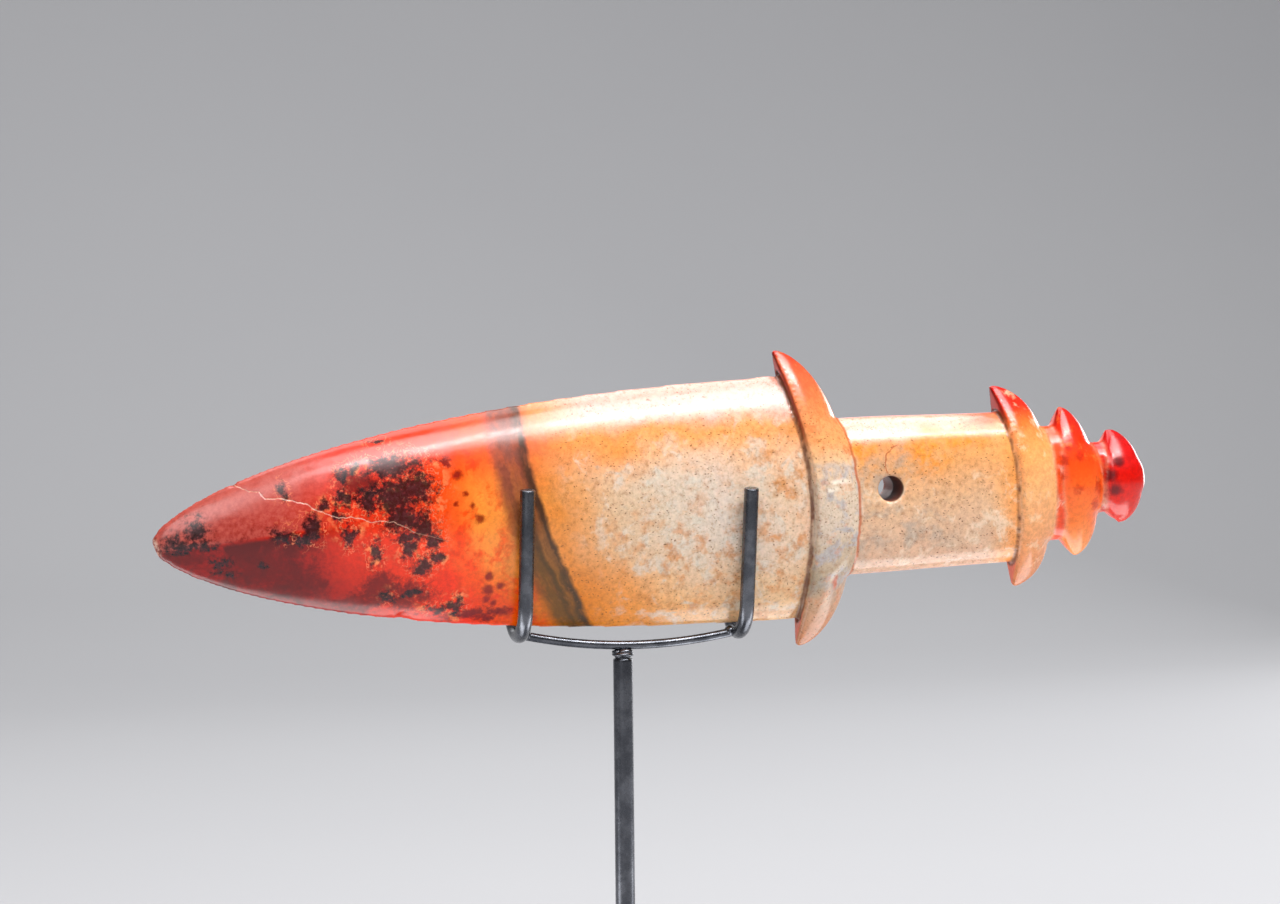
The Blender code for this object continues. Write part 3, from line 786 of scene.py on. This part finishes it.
weld_bead(post_skin, (-0.0012, 0.0002, top_z - 0.0003), (1.1, 1.1, 0.6))
post = finish_piece(post_skin, "round_post", "post")
print("post", len(post.data.polygons), "faces, z", spread(post, 2))

# %% [markdown]
# ## A bench for mixing materials
#
# Both finishes are built from small steps: read a place, stir it with noise, look up a
# colour, lay it over another through a mask. A few helpers keep each step to one line.
# A colour is written as it would be matched on a screen, as three numbers up to
# 255, and is turned into the linear values that the shader wants.

# %% The mixing bench
def tone(colour):
    """A colour as matched on a screen, 0 to 255, as the shader's linear values."""
    shares = [part / 255 for part in colour]
    linear = [s / 12.92 if s <= 0.04 else ((s + 0.055) / 1.055) ** 2.4 for s in shares]
    return (*linear, 1.0)


class Bench:
    """One material on the bench, with a word for each step of mixing it."""

    def __init__(self, name):
        self.material = bpy.data.materials.new(name)
        self.material.use_nodes = True
        self.tree = self.material.node_tree
        self.shader = self.tree.nodes["Principled BSDF"]

    def set(self, socket, value):
        """Wire another node's output in, or type a value. Colours go through tone."""
        if isinstance(value, bpy.types.NodeSocket):
            self.tree.links.new(value, socket)
        else:
            socket.default_value = tone(value) if socket.type == "RGBA" else value

    def dress(self, values):
        """Set the shader's own inputs by name."""
        for name, value in values.items():
            self.set(self.shader.inputs[name], value)

    def add(self, kind, *values, **settings):
        """A node with its settings, and its first inputs in order."""
        node = self.tree.nodes.new("ShaderNode" + kind)
        for key, value in settings.items():
            setattr(node, key, value)
        for socket, value in zip(node.inputs, values):
            self.set(socket, value)
        return node

    def maths(self, operation, first, *more):
        """One operation over two or more values in turn, or over a single one."""
        for second in more or (0.0,):
            first = self.add("Math", first, second, operation=operation).outputs[0]
        return first

    def product(self, *values):
        """Values multiplied. Of masks it is what lies inside all of them."""
        return self.maths("MULTIPLY", *values)

    def apart(self, a, b):
        """How far apart two values are."""
        return self.maths("ABSOLUTE", self.maths("SUBTRACT", a, b))

    def length(self, vector):
        """The length of a vector."""
        return self.add("VectorMath", vector, operation="LENGTH").outputs["Value"]

    def noise(self, place, size, detail=3.0, rough=0.55, output=0):
        """Cloudy noise, about 0.5, with lumps of a size in the place's own units."""
        node = self.add("TexNoise")
        wanted = {"Vector": place, "Scale": 1 / size, "Detail": detail, "Roughness": rough}
        for name, value in wanted.items():
            self.set(node.inputs[name], value)
        return node.outputs[output]

    def step(self, value, start, end, low=0.0, high=1.0):
        """A smooth step from low to high as the value goes from start to end."""
        given = (value, start, end, low, high)
        return self.add("MapRange", *given, interpolation_type="SMOOTHSTEP").outputs[0]

    def between(self, value, start, full, fading, end):
        """A mask that rises from start to full and falls again from fading to end."""
        return self.product(self.step(value, start, full), self.step(value, end, fading))

    def ramp(self, value, span, stops):
        """A run of colours, or of plain shares, along a value that goes from 0 to span."""
        node = self.add("ValToRGB", self.maths("DIVIDE", value, span))
        band = node.color_ramp
        for place, colour in stops[1:-1]:
            band.elements.new(place / span)
        for element, (place, colour) in zip(band.elements, stops):
            element.position = place / span
            element.color = tone(colour) if isinstance(colour, tuple) else (*[colour] * 3, 1)
        return node.outputs[0]

    def lay(self, mask, over, under):
        """One colour laid over another through a mask."""
        node = self.add("Mix", data_type="RGBA", clamp_factor=True)
        for index, value in ((0, mask), (6, under), (7, over)):
            self.set(node.inputs[index], value)
        return node.outputs[2]

    def paint(self, under, *layers):
        """Layers of mask and colour, each laid over all that is there."""
        for mask, over in layers:
            under = self.lay(mask, over, under)
        return under

    def bump(self, height, strength, depth):
        """A bump far finer than the mesh. Its depth is in metres."""
        node = self.add("Bump", strength, depth)
        self.set(node.inputs["Height"], height)
        return node.outputs[0]

    def attribute(self, name):
        """A value that the mesh keeps at each point."""
        return self.add("Attribute", attribute_name=name).outputs["Fac"]


print("a screen's mid grey is", round(tone((128, 128, 128))[0], 3), "in linear light")

# %% [markdown]
# ## Jade: where each colour lies
#
# The stone's colour is in the stone, so its map is drawn in the stone's own axes and in
# millimetres, and a little noise stirs every border. Along the blade three runs of
# colour are read, for its upper edge, its middle and its lower edge: deep red at the
# tip, orange, one slanting olive band, then cream with an amber border.

# %% Read and stir the place
jade = Bench("polished_jade")
step, between, product, apart = jade.step, jade.between, jade.product, jade.apart
lay, paint, ramp, measured = jade.lay, jade.paint, jade.ramp, jade.attribute
position = jade.add("TexCoord").outputs["Object"]
turned, scaled = (0, -RISE, 0), (MM, MM, MM)
own_axes = jade.add("Mapping", position, TIP, turned, scaled, vector_type="TEXTURE")
place = own_axes.outputs[0]


def stirred(place, size, amount):
    """The place pushed about by noise, by up to about half the amount."""
    swirl = jade.noise(place, size, 2.0, output=1)
    centred = jade.add("VectorMath", swirl, (0.5, 0.5, 0.5), operation="SUBTRACT").outputs[0]
    push = (amount, amount, amount)
    return jade.add("VectorMath", centred, push, place, operation="MULTIPLY_ADD").outputs[0]


broad = stirred(place, 13.0, 11.0)
fine = stirred(broad, 3.2, 2.6)
small = stirred(place, 2.4, 1.6)
u, _, v = jade.add("SeparateXYZ", broad).outputs
true_u, depth_in, true_v = jade.add("SeparateXYZ", place).outputs
slanted = jade.maths("ADD", u, product(v, 0.30))
grain = jade.noise(place, 1.2, 4.0, 0.75)
lumps = jade.noise(fine, 5.0, 3.0, 0.6)
stains = jade.noise(small, 4.2, 3.0, 0.65)
print("stirring noise: 13 mm, 3.2 mm and 2.4 mm lumps")

# %% Three runs of colour along the blade
BLADE_RUN = 170
RIDGE_RISE = 0.10
middle_run = ramp(slanted, BLADE_RUN, [
    (0, (126, 34, 28)), (14, (146, 32, 26)), (30, (184, 42, 32)), (45, (214, 56, 40)),
    (58, (228, 66, 46)), (66, (240, 74, 48)), (73, (252, 104, 54)), (79, (255, 148, 70)),
    (85, (246, 150, 76)), (97, (222, 142, 74)), (104, (224, 164, 112)), (113, (218, 184, 150)),
    (124, (216, 196, 174)), (140, (218, 200, 184)), (152, (224, 194, 166)), (165, (228, 186, 154)),
])
upper_run = ramp(slanted, BLADE_RUN, [
    (0, (164, 62, 54)), (20, (190, 82, 72)), (40, (204, 76, 66)), (60, (224, 66, 50)),
    (76, (244, 70, 42)), (88, (246, 96, 54)), (98, (228, 118, 74)), (108, (246, 146, 84)),
    (125, (250, 166, 92)), (145, (250, 168, 92)), (165, (246, 158, 98)),
])
lower_run = ramp(slanted, BLADE_RUN, [
    (0, (110, 20, 16)), (20, (130, 22, 18)), (38, (164, 30, 22)), (56, (222, 58, 36)),
    (68, (234, 56, 34)), (78, (244, 92, 40)), (85, (232, 120, 34)), (96, (216, 124, 40)),
    (108, (230, 148, 66)), (120, (236, 178, 120)), (135, (234, 192, 148)), (165, (226, 184, 140)),
])
reach = ramp(true_u, BLADE_RUN, [
    (0, 0.06), (10, 0.29), (20, 0.43), (40, 0.63), (60, 0.765), (80, 0.86),
    (100, 0.926), (130, 0.984), (170, 1.0),
])
up_share = jade.maths("DIVIDE", v, product(reach, BLADE_WIDTH / 2 / MM))
near_tip = step(true_u, 48.0, 30.0)
over_ridge = jade.maths("SUBTRACT", true_v, product(true_u, RIDGE_RISE))
# Near the tip the two facets are painted as lit and shaded copies: painted shade gives the facet
# below the ridge a darker red, and a painted reflection gives the facet above it a rose sheen.
shaded_red_below_ridge = lay(step(lumps, 0.42, 0.62), (84, 4, 3), (140, 10, 5))
painted_rose_sheen = step(grain, 0.30, 0.70, 0.35, 0.85)
red_clouds = product(between(slanted, 62.0, 72.0, 80.0, 92.0), step(lumps, 0.46, 0.64, 0.0, 0.75))
blade_colour = paint(
    middle_run,
    (step(up_share, 0.18, 0.80), upper_run),
    (step(up_share, -0.25, -0.80), lower_run),
    (product(near_tip, step(over_ridge, -2.2, -3.4)), shaded_red_below_ridge),
    (product(near_tip, step(over_ridge, -2.6, -1.6), painted_rose_sheen), (178, 88, 78)),
    (red_clouds, (236, 66, 36)),
)
print("three runs of colour,", BLADE_RUN, "mm long")

# %% [markdown]
# ## Jade: band, clouds, specks and blotches
#
# Over the runs lie the marks that make this stone itself: the slanting band with its dark
# edge, grey and peach clouds and fine dark specks in the cream, and in the red part slate
# black blotches with branching borders. The placed marks come from the mesh, and noise
# gives them their ragged outline, so that none looks like a drawn oval.

# %% The slanting band
bow = product(true_v, true_v, -0.00555)
lean = jade.maths("ADD", product(true_v, 0.2917), bow)
wander = product(jade.maths("SUBTRACT", lumps, 0.5), 2.4)
band_at = jade.maths("ADD", true_u, lean, jade.maths("ADD", wander, 0.7))
in_band = between(band_at, 84.0, 88.0, 94.0, 95.6)
band_colour = lay(step(true_v, -14.0, 12.0), (132, 70, 56), (104, 70, 20))
along = jade.add("CombineXYZ", band_at, depth_in, product(true_v, 0.10)).outputs[0]
streaks = jade.noise(along, 1.8)
edge_line = product(between(band_at, 91.6, 93.8, 94.2, 95.6), step(streaks, 0.30, 0.55, 0.45, 0.80))
second_line = product(between(band_at, 89.4, 90.8, 91.2, 92.2), step(true_v, 4.0, -8.0, 0.0, 0.60))
blade_colour = paint(
    blade_colour,
    (product(in_band, step(streaks, 0.30, 0.56, 0.72, 0.95)), band_colour),
    (edge_line, (56, 42, 28)),
    (second_line, (60, 46, 20)),
)
print("band from 84 to 96 mm behind the tip")

# %% Clouds and specks in the cream
in_cream = step(slanted, 97.0, 112.0)
low = step(true_v, 8.0, -14.0, 0.35, 1.0)
low_or_late = jade.maths("MAXIMUM", low, step(true_u, 138.0, 152.0))
above_or_early = jade.maths("MAXIMUM", step(v, -4.0, 4.0), step(u, 124.0, 108.0))
near_edges = step(jade.maths("ABSOLUTE", v), 12.0, 21.0)
halo = product(in_cream, near_edges, step(u, 160.0, 118.0, 0.25, 0.75), above_or_early)
# Painted highlight: a pale pink glare along the blade's upper edge in the cream part.
painted_glare_upper_edge = product(step(v, 18.5, 24.5), step(true_u, 90.0, 108.0, 0.0, 0.85))
blade_colour = paint(
    blade_colour,
    (product(in_cream, step(lumps, 0.50, 0.66, 0.0, 0.65)), (214, 206, 192)),
    (product(in_cream, low_or_late, step(stains, 0.46, 0.70, 0.0, 0.80)), (206, 136, 76)),
    (halo, (236, 150, 78)),
    (painted_glare_upper_edge, (236, 178, 168)),
)
turned, scaled = (0, math.radians(28), 0), (0.60, 0.9, 1.0)
tilted = jade.add("Mapping", small, (0, 0, 0), turned, scaled, vector_type="POINT")
cells = jade.add("TexVoronoi", voronoi_dimensions="3D", feature="F1")
jade.set(cells.inputs["Vector"], tilted.outputs[0])
cells.inputs["Scale"].default_value = 1.65
chosen = step(jade.add("SeparateColor", cells.outputs["Color"]).outputs[0], 0.50, 0.56)
crowded = step(lumps, 0.62, 0.44, 0.10, 1.0)
specks = product(step(cells.outputs["Distance"], 0.30, 0.12), chosen, crowded)
print("specks about 0.3 by 0.5 mm")

# %% Lay the placed marks
def marked(name, blur, rough, most):
    """A mask for the marks kept under a name: their inside, with a grainy border."""
    ragged = product(jade.maths("SUBTRACT", grain, 0.5), rough)
    edge = jade.maths("ADD", measured(name), ragged)
    return step(edge, 1.0 + blur, 1.0 - blur, 0.0, most)


in_red = step(slanted, 80.0, 68.0)
tan_bits = product(
    step(measured("slate"), 2.6, 1.2), step(stains, 0.54, 0.64, 0.0, 0.75), in_red,
    step(true_u, 36.0, 46.0), step(depth_in, 1.0, -2.0),
)
veins = product(
    step(apart(stains, 0.47), 0.020, 0.006), step(measured("slate"), 2.4, 1.3, 0.0, 0.65), in_red,
    step(true_u, 26.0, 32.0),
)
far_clouds = product(step(depth_in, 0.0, 6.0), in_red, step(lumps, 0.50, 0.70, 0.0, 0.80))
slate_mask = jade.maths("MAXIMUM", marked("slate", 0.42, 2.8, 0.92), far_clouds)
blade_colour = paint(
    blade_colour,
    (tan_bits, (244, 148, 96)),
    (veins, (238, 138, 98)),
    (marked("maroon", 0.45, 2.0, 0.85), (104, 8, 6)),
    (marked("dots", 0.50, 1.0, 0.85), (124, 8, 8)),
    (slate_mask, lay(step(grain, 0.35, 0.68), (42, 30, 38), (5, 3, 5))),
)
print("marks laid: slate, maroon, dots, tan and veins")

# %% [markdown]
# ## Jade: the carved end
#
# The guard shows a cool grey middle between an orange upper horn and a peach lower one.
# The grip is cream with grey wisps and an amber cloud, and from the flange on the stone
# turns yellow, orange and then the same deep red as the tip. Each form gets its own short
# run of colour by height, and the measured form attributes say where each one applies.

# %% Colours of the carved end
HALF_SPAN = 40
height = jade.maths("ADD", v, HALF_SPAN)


def by_height(*stops):
    """A run of colour up the stone, given by height above its axis in millimetres."""
    return ramp(height, 2 * HALF_SPAN, [(place + HALF_SPAN, colour) for place, colour in stops])


def nearest(*marks):
    """How far the place is from the nearest of some marks, each u, v and half sizes."""
    least = FAR
    for mark_u, mark_v, length, tall in marks:
        squeeze, shift = (1 / length, 0, 1 / tall), (-mark_u / length, 0, -mark_v / tall)
        put = jade.add("VectorMath", small, squeeze, shift, operation="MULTIPLY_ADD").outputs[0]
        least = jade.maths("MINIMUM", least, jade.length(put))
    return least


guard_colour = by_height(
    (-36, (192, 126, 88)), (-26, (192, 150, 118)), (-17, (190, 166, 138)), (-6, (208, 188, 168)),
    (4, (218, 196, 172)), (9, (228, 184, 142)), (15, (236, 160, 104)), (24, (232, 136, 86)),
    (31, (226, 104, 68)), (37, (192, 46, 36)),
)
grip_cream = by_height(
    (-20, (220, 174, 146)), (-10, (216, 178, 148)), (0, (222, 178, 140)), (8, (228, 164, 108)),
    (14, (232, 150, 88)), (20, (236, 172, 134)),
)
flange_colour = by_height(
    (-26, (204, 124, 82)), (-16, (226, 150, 100)), (0, (242, 180, 124)), (10, (244, 162, 98)),
    (16, (242, 122, 64)), (21, (228, 58, 44)), (26, (190, 24, 24)),
)
collar_colour = by_height(
    (-18, (244, 158, 96)), (-10, (248, 128, 64)), (0, (246, 98, 54)), (9, (236, 66, 42)),
    (19, (196, 28, 26)),
)
pommel_colour = by_height(
    (-11, (226, 58, 42)), (-4, (222, 44, 34)), (5, (204, 30, 28)), (13, (186, 26, 28)),
)
neck_run = ramp(jade.maths("SUBTRACT", true_u, 205.0), 40, [
    (0, (238, 178, 120)), (9, (242, 160, 92)), (14, (240, 122, 62)), (22, (232, 72, 44)),
    (30, (206, 34, 30)), (40, (190, 26, 24)),
])
print("runs by height: guard, grip, flange, collar, pommel")

# %% Marks on the grip
wisps = product(
    step(nearest((175, -2, 9, 16), (184, -9, 14, 9), (187, 9, 6, 7)), 1.3, 0.5),
    step(jade.noise(broad, 6.0, 4.0, 0.6), 0.42, 0.66, 0.0, 0.70),
)
amber = product(
    step(nearest((191.5, 9.6, 7, 5), (174.5, 13.0, 5, 4), (200, 13, 8, 4)), 1.3, 0.3, 0.0, 0.8),
    step(stains, 0.36, 0.62),
)
rusty = product(
    step(nearest((207.0, -9.5, 4.0, 3.0), (212.0, -12, 2.0, 3.0)), 1.2, 0.4),
    step(grain, 0.52, 0.66, 0.0, 0.8),
)
hair_line = product(
    step(apart(nearest((184.3, 8.2, 4.4, 4.4)), 1.0), 0.060, 0.02),
    step(true_u, 184.6, 183.0), step(true_v, 5.0, 7.0, 0.0, 0.7),
)
# Painted highlight: a pale pink glare on the top of the grip, redder towards the neck.
painted_grip_top_glare = lay(step(true_u, 198.0, 210.0), (232, 112, 92), (240, 190, 172))
grip_colour = paint(
    grip_cream,
    (step(true_u, 205.0, 214.0), neck_run),
    (wisps, (170, 158, 144)),
    (product(step(lumps, 0.54, 0.68, 0.0, 0.6), step(true_v, 8.0, 2.0)), (238, 216, 190)),
    (amber, (240, 146, 52)),
    (rusty, (158, 88, 42)),
    (hair_line, (176, 88, 56)),
    (product(step(v, 12.5, 17.0, 0.0, 0.85), step(true_u, 216.0, 208.0)), painted_grip_top_glare),
)
print("grip: wisps, cloud, amber, rust and a hair line above the hole")

# %% Marks on the guard and the red end
cool = product(step(lumps, 0.46, 0.62, 0.0, 0.75), between(true_v, -26.0, -18.0, 6.0, 13.0))
warm = product(step(stains, 0.54, 0.66, 0.0, 0.7), step(true_v, 4.0, 12.0, 0.45, 1.0))
white_vein = nearest((167.3, 4.9, 3.4, 0.8), (165.2, 3.2, 1.6, 0.7))
guard_colour = paint(
    guard_colour,
    (cool, (172, 168, 170)),
    (warm, (220, 128, 78)),
    (step(white_vein, 1.3, 0.3, 0.0, 0.8), (240, 230, 214)),
    (step(nearest((160.8, -19.5, 3.5, 5.0)), 1.2, 0.2, 0.0, 0.55), (142, 132, 112)),
    (step(nearest((166.3, -20.0, 0.9, 1.9)), 1.3, 0.4, 0.0, 0.7), (208, 96, 54)),
)
end_marks = marked("dots", 0.5, 1.0, 0.85)
flange_colour = lay(step(stains, 0.54, 0.70, 0.0, 0.6), (248, 206, 168), flange_colour)
collar_colour = paint(
    collar_colour,
    (product(end_marks, 0.65), (176, 26, 22)),
    (step(stains, 0.56, 0.70, 0.0, 0.5), (250, 130, 70)),
)
pommel_colour = lay(end_marks, (84, 14, 20), pommel_colour)
print("guard: 5 kinds of mark, red end: dots and stains")

# %% Bring all forms together
on_guard = measured("on_guard")
seam = product(step(apart(on_guard, 0.5), 0.42, 0.15), step(true_u, 160.0, 166.0, 0.0, 0.75))
# Painted shade: dark red on the faces of the upper guard that turn towards the tip.
painted_horn_front_shade = product(
    step(measured("to_tip"), 0.45, 0.80), step(true_v, 10.0, 20.0, 0.0, 0.85),
    step(true_u, 144.0, 150.0),
)
pale_zone = between(true_u, 92.0, 100.0, 212.0, 220.0)
stone_colour = paint(
    blade_colour,
    (measured("on_grip"), grip_colour),
    (on_guard, guard_colour),
    (measured("on_flange"), flange_colour),
    (measured("on_collar"), collar_colour),
    (measured("on_pommel"), pommel_colour),
    (seam, (190, 92, 44)),
    (painted_horn_front_shade, (120, 20, 22)),
    (product(step(grain, 0.46, 0.32, 0.0, 0.36), pale_zone), (186, 120, 66)),
    (product(specks, pale_zone, 0.90), (98, 60, 30)),
)
grainy = step(grain, 0.30, 0.70, 0.75, 1.03)
stone_colour = jade.add("HueSaturation", 0.5, 1.03, grainy, 1.0, stone_colour).outputs[0]
print("forms painted:", len(form_names))

# %% [markdown]
# ## Jade: edges, creases and polish
#
# A painted glow, a purer red, stands in for the light that passes through the thin
# outline. Painted shade darkens the creases beside the crescents and the walls of the
# drilled hole, and the crack shows pale where the stone has parted. The polish is glossy
# but worn unevenly, so noise moves its roughness a little and a bump far below a tenth of
# a millimetre breaks the reflections. Light that enters the stone is what makes jade
# jade, so the shader also gets some subsurface scattering.

# %% Rims, creases, crack and polish
# Painted glow: a purer red on the thin outline, standing in for light that passes through the
# stone.
glow = lay(step(true_u, 150.0, 100.0), (226, 50, 38), (236, 88, 68))
# Painted shade: a darker brown in the hollows and in the creases beside the crescents.
painted_crease_shade = step(measured("hollow"), 0.03, 0.15, 0.0, step(lumps, 0.35, 0.60, 0.60, 0.88))
fresh_break = lay(step(grain, 0.40, 0.60), (226, 184, 160), (150, 66, 50))
parted = step(measured("crack"), 0.50, 0.90, 0.0, step(grain, 0.35, 0.60, 0.30, 0.85))
# Painted shade: the walls of the drilled hole are darkened to a deep brown.
hole_at = (-HOLE_U / MM, 0, -HOLE_V / MM)
hole_axis = jade.add("VectorMath", place, (1, 0, 1), hole_at, operation="MULTIPLY_ADD").outputs[0]
in_hole = product(step(jade.length(hole_axis), 3.35, 3.0), measured("on_grip"))
stone_colour = paint(
    stone_colour,
    (step(measured("rim"), 0.60, 0.95, 0.0, 0.60), glow),
    (painted_crease_shade, (104, 52, 24)),
    (product(measured("chip"), 0.8), fresh_break),
    (product(parted, step(true_u, 70.0, 52.0, 0.25, 1.0)), (236, 182, 158)),
    (product(in_hole, 0.92), (66, 30, 18)),
)
polish = step(lumps, 0.30, 0.70, 0.14, 0.24)
jade.dress({
    "Base Color": stone_colour,
    "Roughness": jade.maths("ADD", polish, product(slate_mask, 0.02), product(in_hole, 0.50)),
    "IOR": 1.50,
    "Subsurface Weight": 0.25,
    "Subsurface Radius": (1.0, 0.32, 0.16),
    "Subsurface Scale": 0.0030,
    "Normal": jade.bump(jade.noise(place, 0.7, 2.0, 0.6), 0.20, 0.00005),
})
carved_stone.data.materials.append(jade.material)
print("jade:", len(jade.tree.nodes), "nodes")

# %% [markdown]
# ## Steel: forged, blackened and waxed
#
# The cradle is mild steel with its dark fire scale left on, rubbed with wax. It is nearly
# black, cool in the light, a little brown where the scale is thin, and brighter where
# hands have rubbed it. Noise in three sizes mixes those tones and moves the roughness.

# %% Mix the steel
steel = Bench("waxed_forged_steel")
metal_place = steel.add("TexCoord").outputs["Object"]
clouds = steel.noise(metal_place, 0.006, 4.0)
scale_grain = steel.noise(metal_place, 0.0009, 5.0, 0.7)
dark_scale = steel.lay(steel.step(clouds, 0.40, 0.62), (104, 106, 112), (80, 82, 88))
brown_spots = steel.step(scale_grain, 0.60, 0.76, 0.0, 0.40)
steel.dress({
    "Base Color": steel.lay(brown_spots, (92, 74, 62), dark_scale),
    "Metallic": 1.0,
    "Roughness": steel.step(scale_grain, 0.30, 0.70, 0.20, 0.36),
    "Coat Weight": 0.15,
    "Coat Roughness": 0.30,
    "Normal": steel.bump(steel.noise(metal_place, 0.0014, 6.0, 0.65), 0.35, 0.00006),
})
cradle = [wires["left"], wires["right"], bar, post]
for piece in cradle:
    piece.data.materials.append(steel.material)
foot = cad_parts["foot_plate"]
for slot in foot.material_slots:
    slot.material = steel.material
print("steel on:", ", ".join(piece.name for piece in cradle + [foot]))

# %% [markdown]
# ## Camera
#
# The photograph looks at the stone from a little to the left and just above, through a
# long lens, and the picture is turned by half a degree.

# %% Set the camera
TURN, LIFT, ROLL = math.radians(-14.0), math.radians(3.0), math.radians(0.56)
AIM = Vector((0.00481, 0.0, 0.1548))
DISTANCE = 0.8663
back = Vector((math.sin(TURN) * math.cos(LIFT), -math.cos(TURN) * math.cos(LIFT), math.sin(LIFT)))
level = Vector((math.cos(TURN), math.sin(TURN), 0.0))
upright = back.cross(level)
across = level * math.cos(ROLL) - upright * math.sin(ROLL)
upward = level * math.sin(ROLL) + upright * math.cos(ROLL)
lens = bpy.data.cameras.new("long_lens")
lens.lens = 100
lens.sensor_width = 36
lens.sensor_fit = "HORIZONTAL"
lens.clip_start = 0.01
camera = bpy.data.objects.new("camera", lens)
facing = Matrix((across, upward, back)).transposed().to_4x4()
camera.matrix_world = Matrix.Translation(AIM + back * DISTANCE) @ facing
bpy.context.scene.collection.objects.link(camera)
bpy.context.scene.camera = camera
print("camera at", rounded(camera.matrix_world.translation, 3))

# %% [markdown]
# ## Light
#
# Polished stone shows what it reflects, so the lights are placed for their reflections:
# a long softbox above the camera, with a bright tube at its middle, draws the white band
# along the upper face. A dim one beside it veils the tip, and a sheet overhead carries the
# white on to the upper edge. Two low ones draw the pale band along the lower edge, one at
# the carved end draws the white rim on the pommel, and one behind makes thin edges glow.

# %% Hang the soft lights
LIGHTS = {
    # place, aim, width, height, watts
    "upper_softbox": ((0.26, -0.54, 1.05), (0.02, 0.0, 0.15), 0.95, 0.44, 12.0),
    "bright_tube": ((0.24, -0.62, 0.98), (0.02, 0.0, 0.15), 0.95, 0.05, 4.5),
    "overhead_sheet": ((0.10, 0.14, 1.14), (0.10, 0.14, 0.0), 0.95, 0.80, 9.0),
    "rose_veil": ((-0.50, -0.80, 0.86), (-0.08, 0.0, 0.14), 0.50, 0.34, 2.4),
    "front_fill": ((-0.90, -1.30, 0.30), (0.0, 0.0, 0.14), 0.9, 0.9, 1.2),
    "low_bounce_left": ((-0.135, -0.012, 0.012), (-0.135, -0.012, 1.0), 0.20, 0.065, 0.16),
    "low_bounce_right": ((0.135, -0.012, 0.012), (0.135, -0.012, 1.0), 0.20, 0.065, 0.16),
    "end_glow": ((0.82, 0.62, 0.22), (0.12, 0.0, 0.16), 0.34, 0.40, 2.8),
    "back_glow": ((0.0, 0.85, 0.42), (0.0, 0.0, 0.15), 0.8, 0.30, 0.8),
}
for name, (spot, aim, width, height, watts) in LIGHTS.items():
    soft = bpy.data.lights.new(name, "AREA")
    soft.shape = "RECTANGLE"
    soft.size, soft.size_y = width, height
    soft.energy = watts
    lamp = bpy.data.objects.new(name, soft)
    lamp.location = spot
    lamp.rotation_euler = (Vector(aim) - Vector(spot)).to_track_quat("-Z", "Y").to_euler()
    lamp.visible_camera = False
    bpy.context.scene.collection.objects.link(lamp)
print("lights:", ", ".join(LIGHTS))

# %% [markdown]
# ## Floor and room
#
# The piece stands on a plain pale floor that sweeps up on all sides, so no horizon crosses
# a picture from anywhere round it, in a pale room that only fills the shadows.

# %% Sweep the floor up
FLOOR_SIZE = 6.0
BACK_FROM, BACK_RISE = 0.8, 1.1
SIDES_FROM, SIDES_RISE = 1.6, 0.9
floor_skin = bmesh.new()
bmesh.ops.create_grid(floor_skin, x_segments=90, y_segments=90, size=FLOOR_SIZE / 2)
for point in floor_skin.verts:
    behind = max(0.0, point.co.y - BACK_FROM)
    aside = max(0.0, -point.co.y - SIDES_FROM, abs(point.co.x) - SIDES_FROM)
    point.co.z = BACK_RISE * behind**2 + SIDES_RISE * aside**2
floor = as_object(floor_skin, "floor")
floor.data.shade_smooth()
floor_paint = Bench("pale_paper")
paper = floor_paint.noise(floor_paint.add("TexCoord").outputs["Object"], 0.4)
floor_colour = floor_paint.lay(paper, (180, 180, 182), (175, 175, 178))
floor_paint.dress({"Base Color": floor_colour, "Roughness": 0.85})
floor.data.materials.append(floor_paint.material)
room = bpy.data.worlds.new("pale_room")
bpy.context.scene.world = room
room.use_nodes = True
sky = room.node_tree.nodes["Background"]
sky.inputs["Color"].default_value = (0.88, 0.89, 0.92, 1)
sky.inputs["Strength"].default_value = 0.32
bpy.context.scene.view_settings.view_transform = "Standard"
print("floor", FLOOR_SIZE, "m wide")
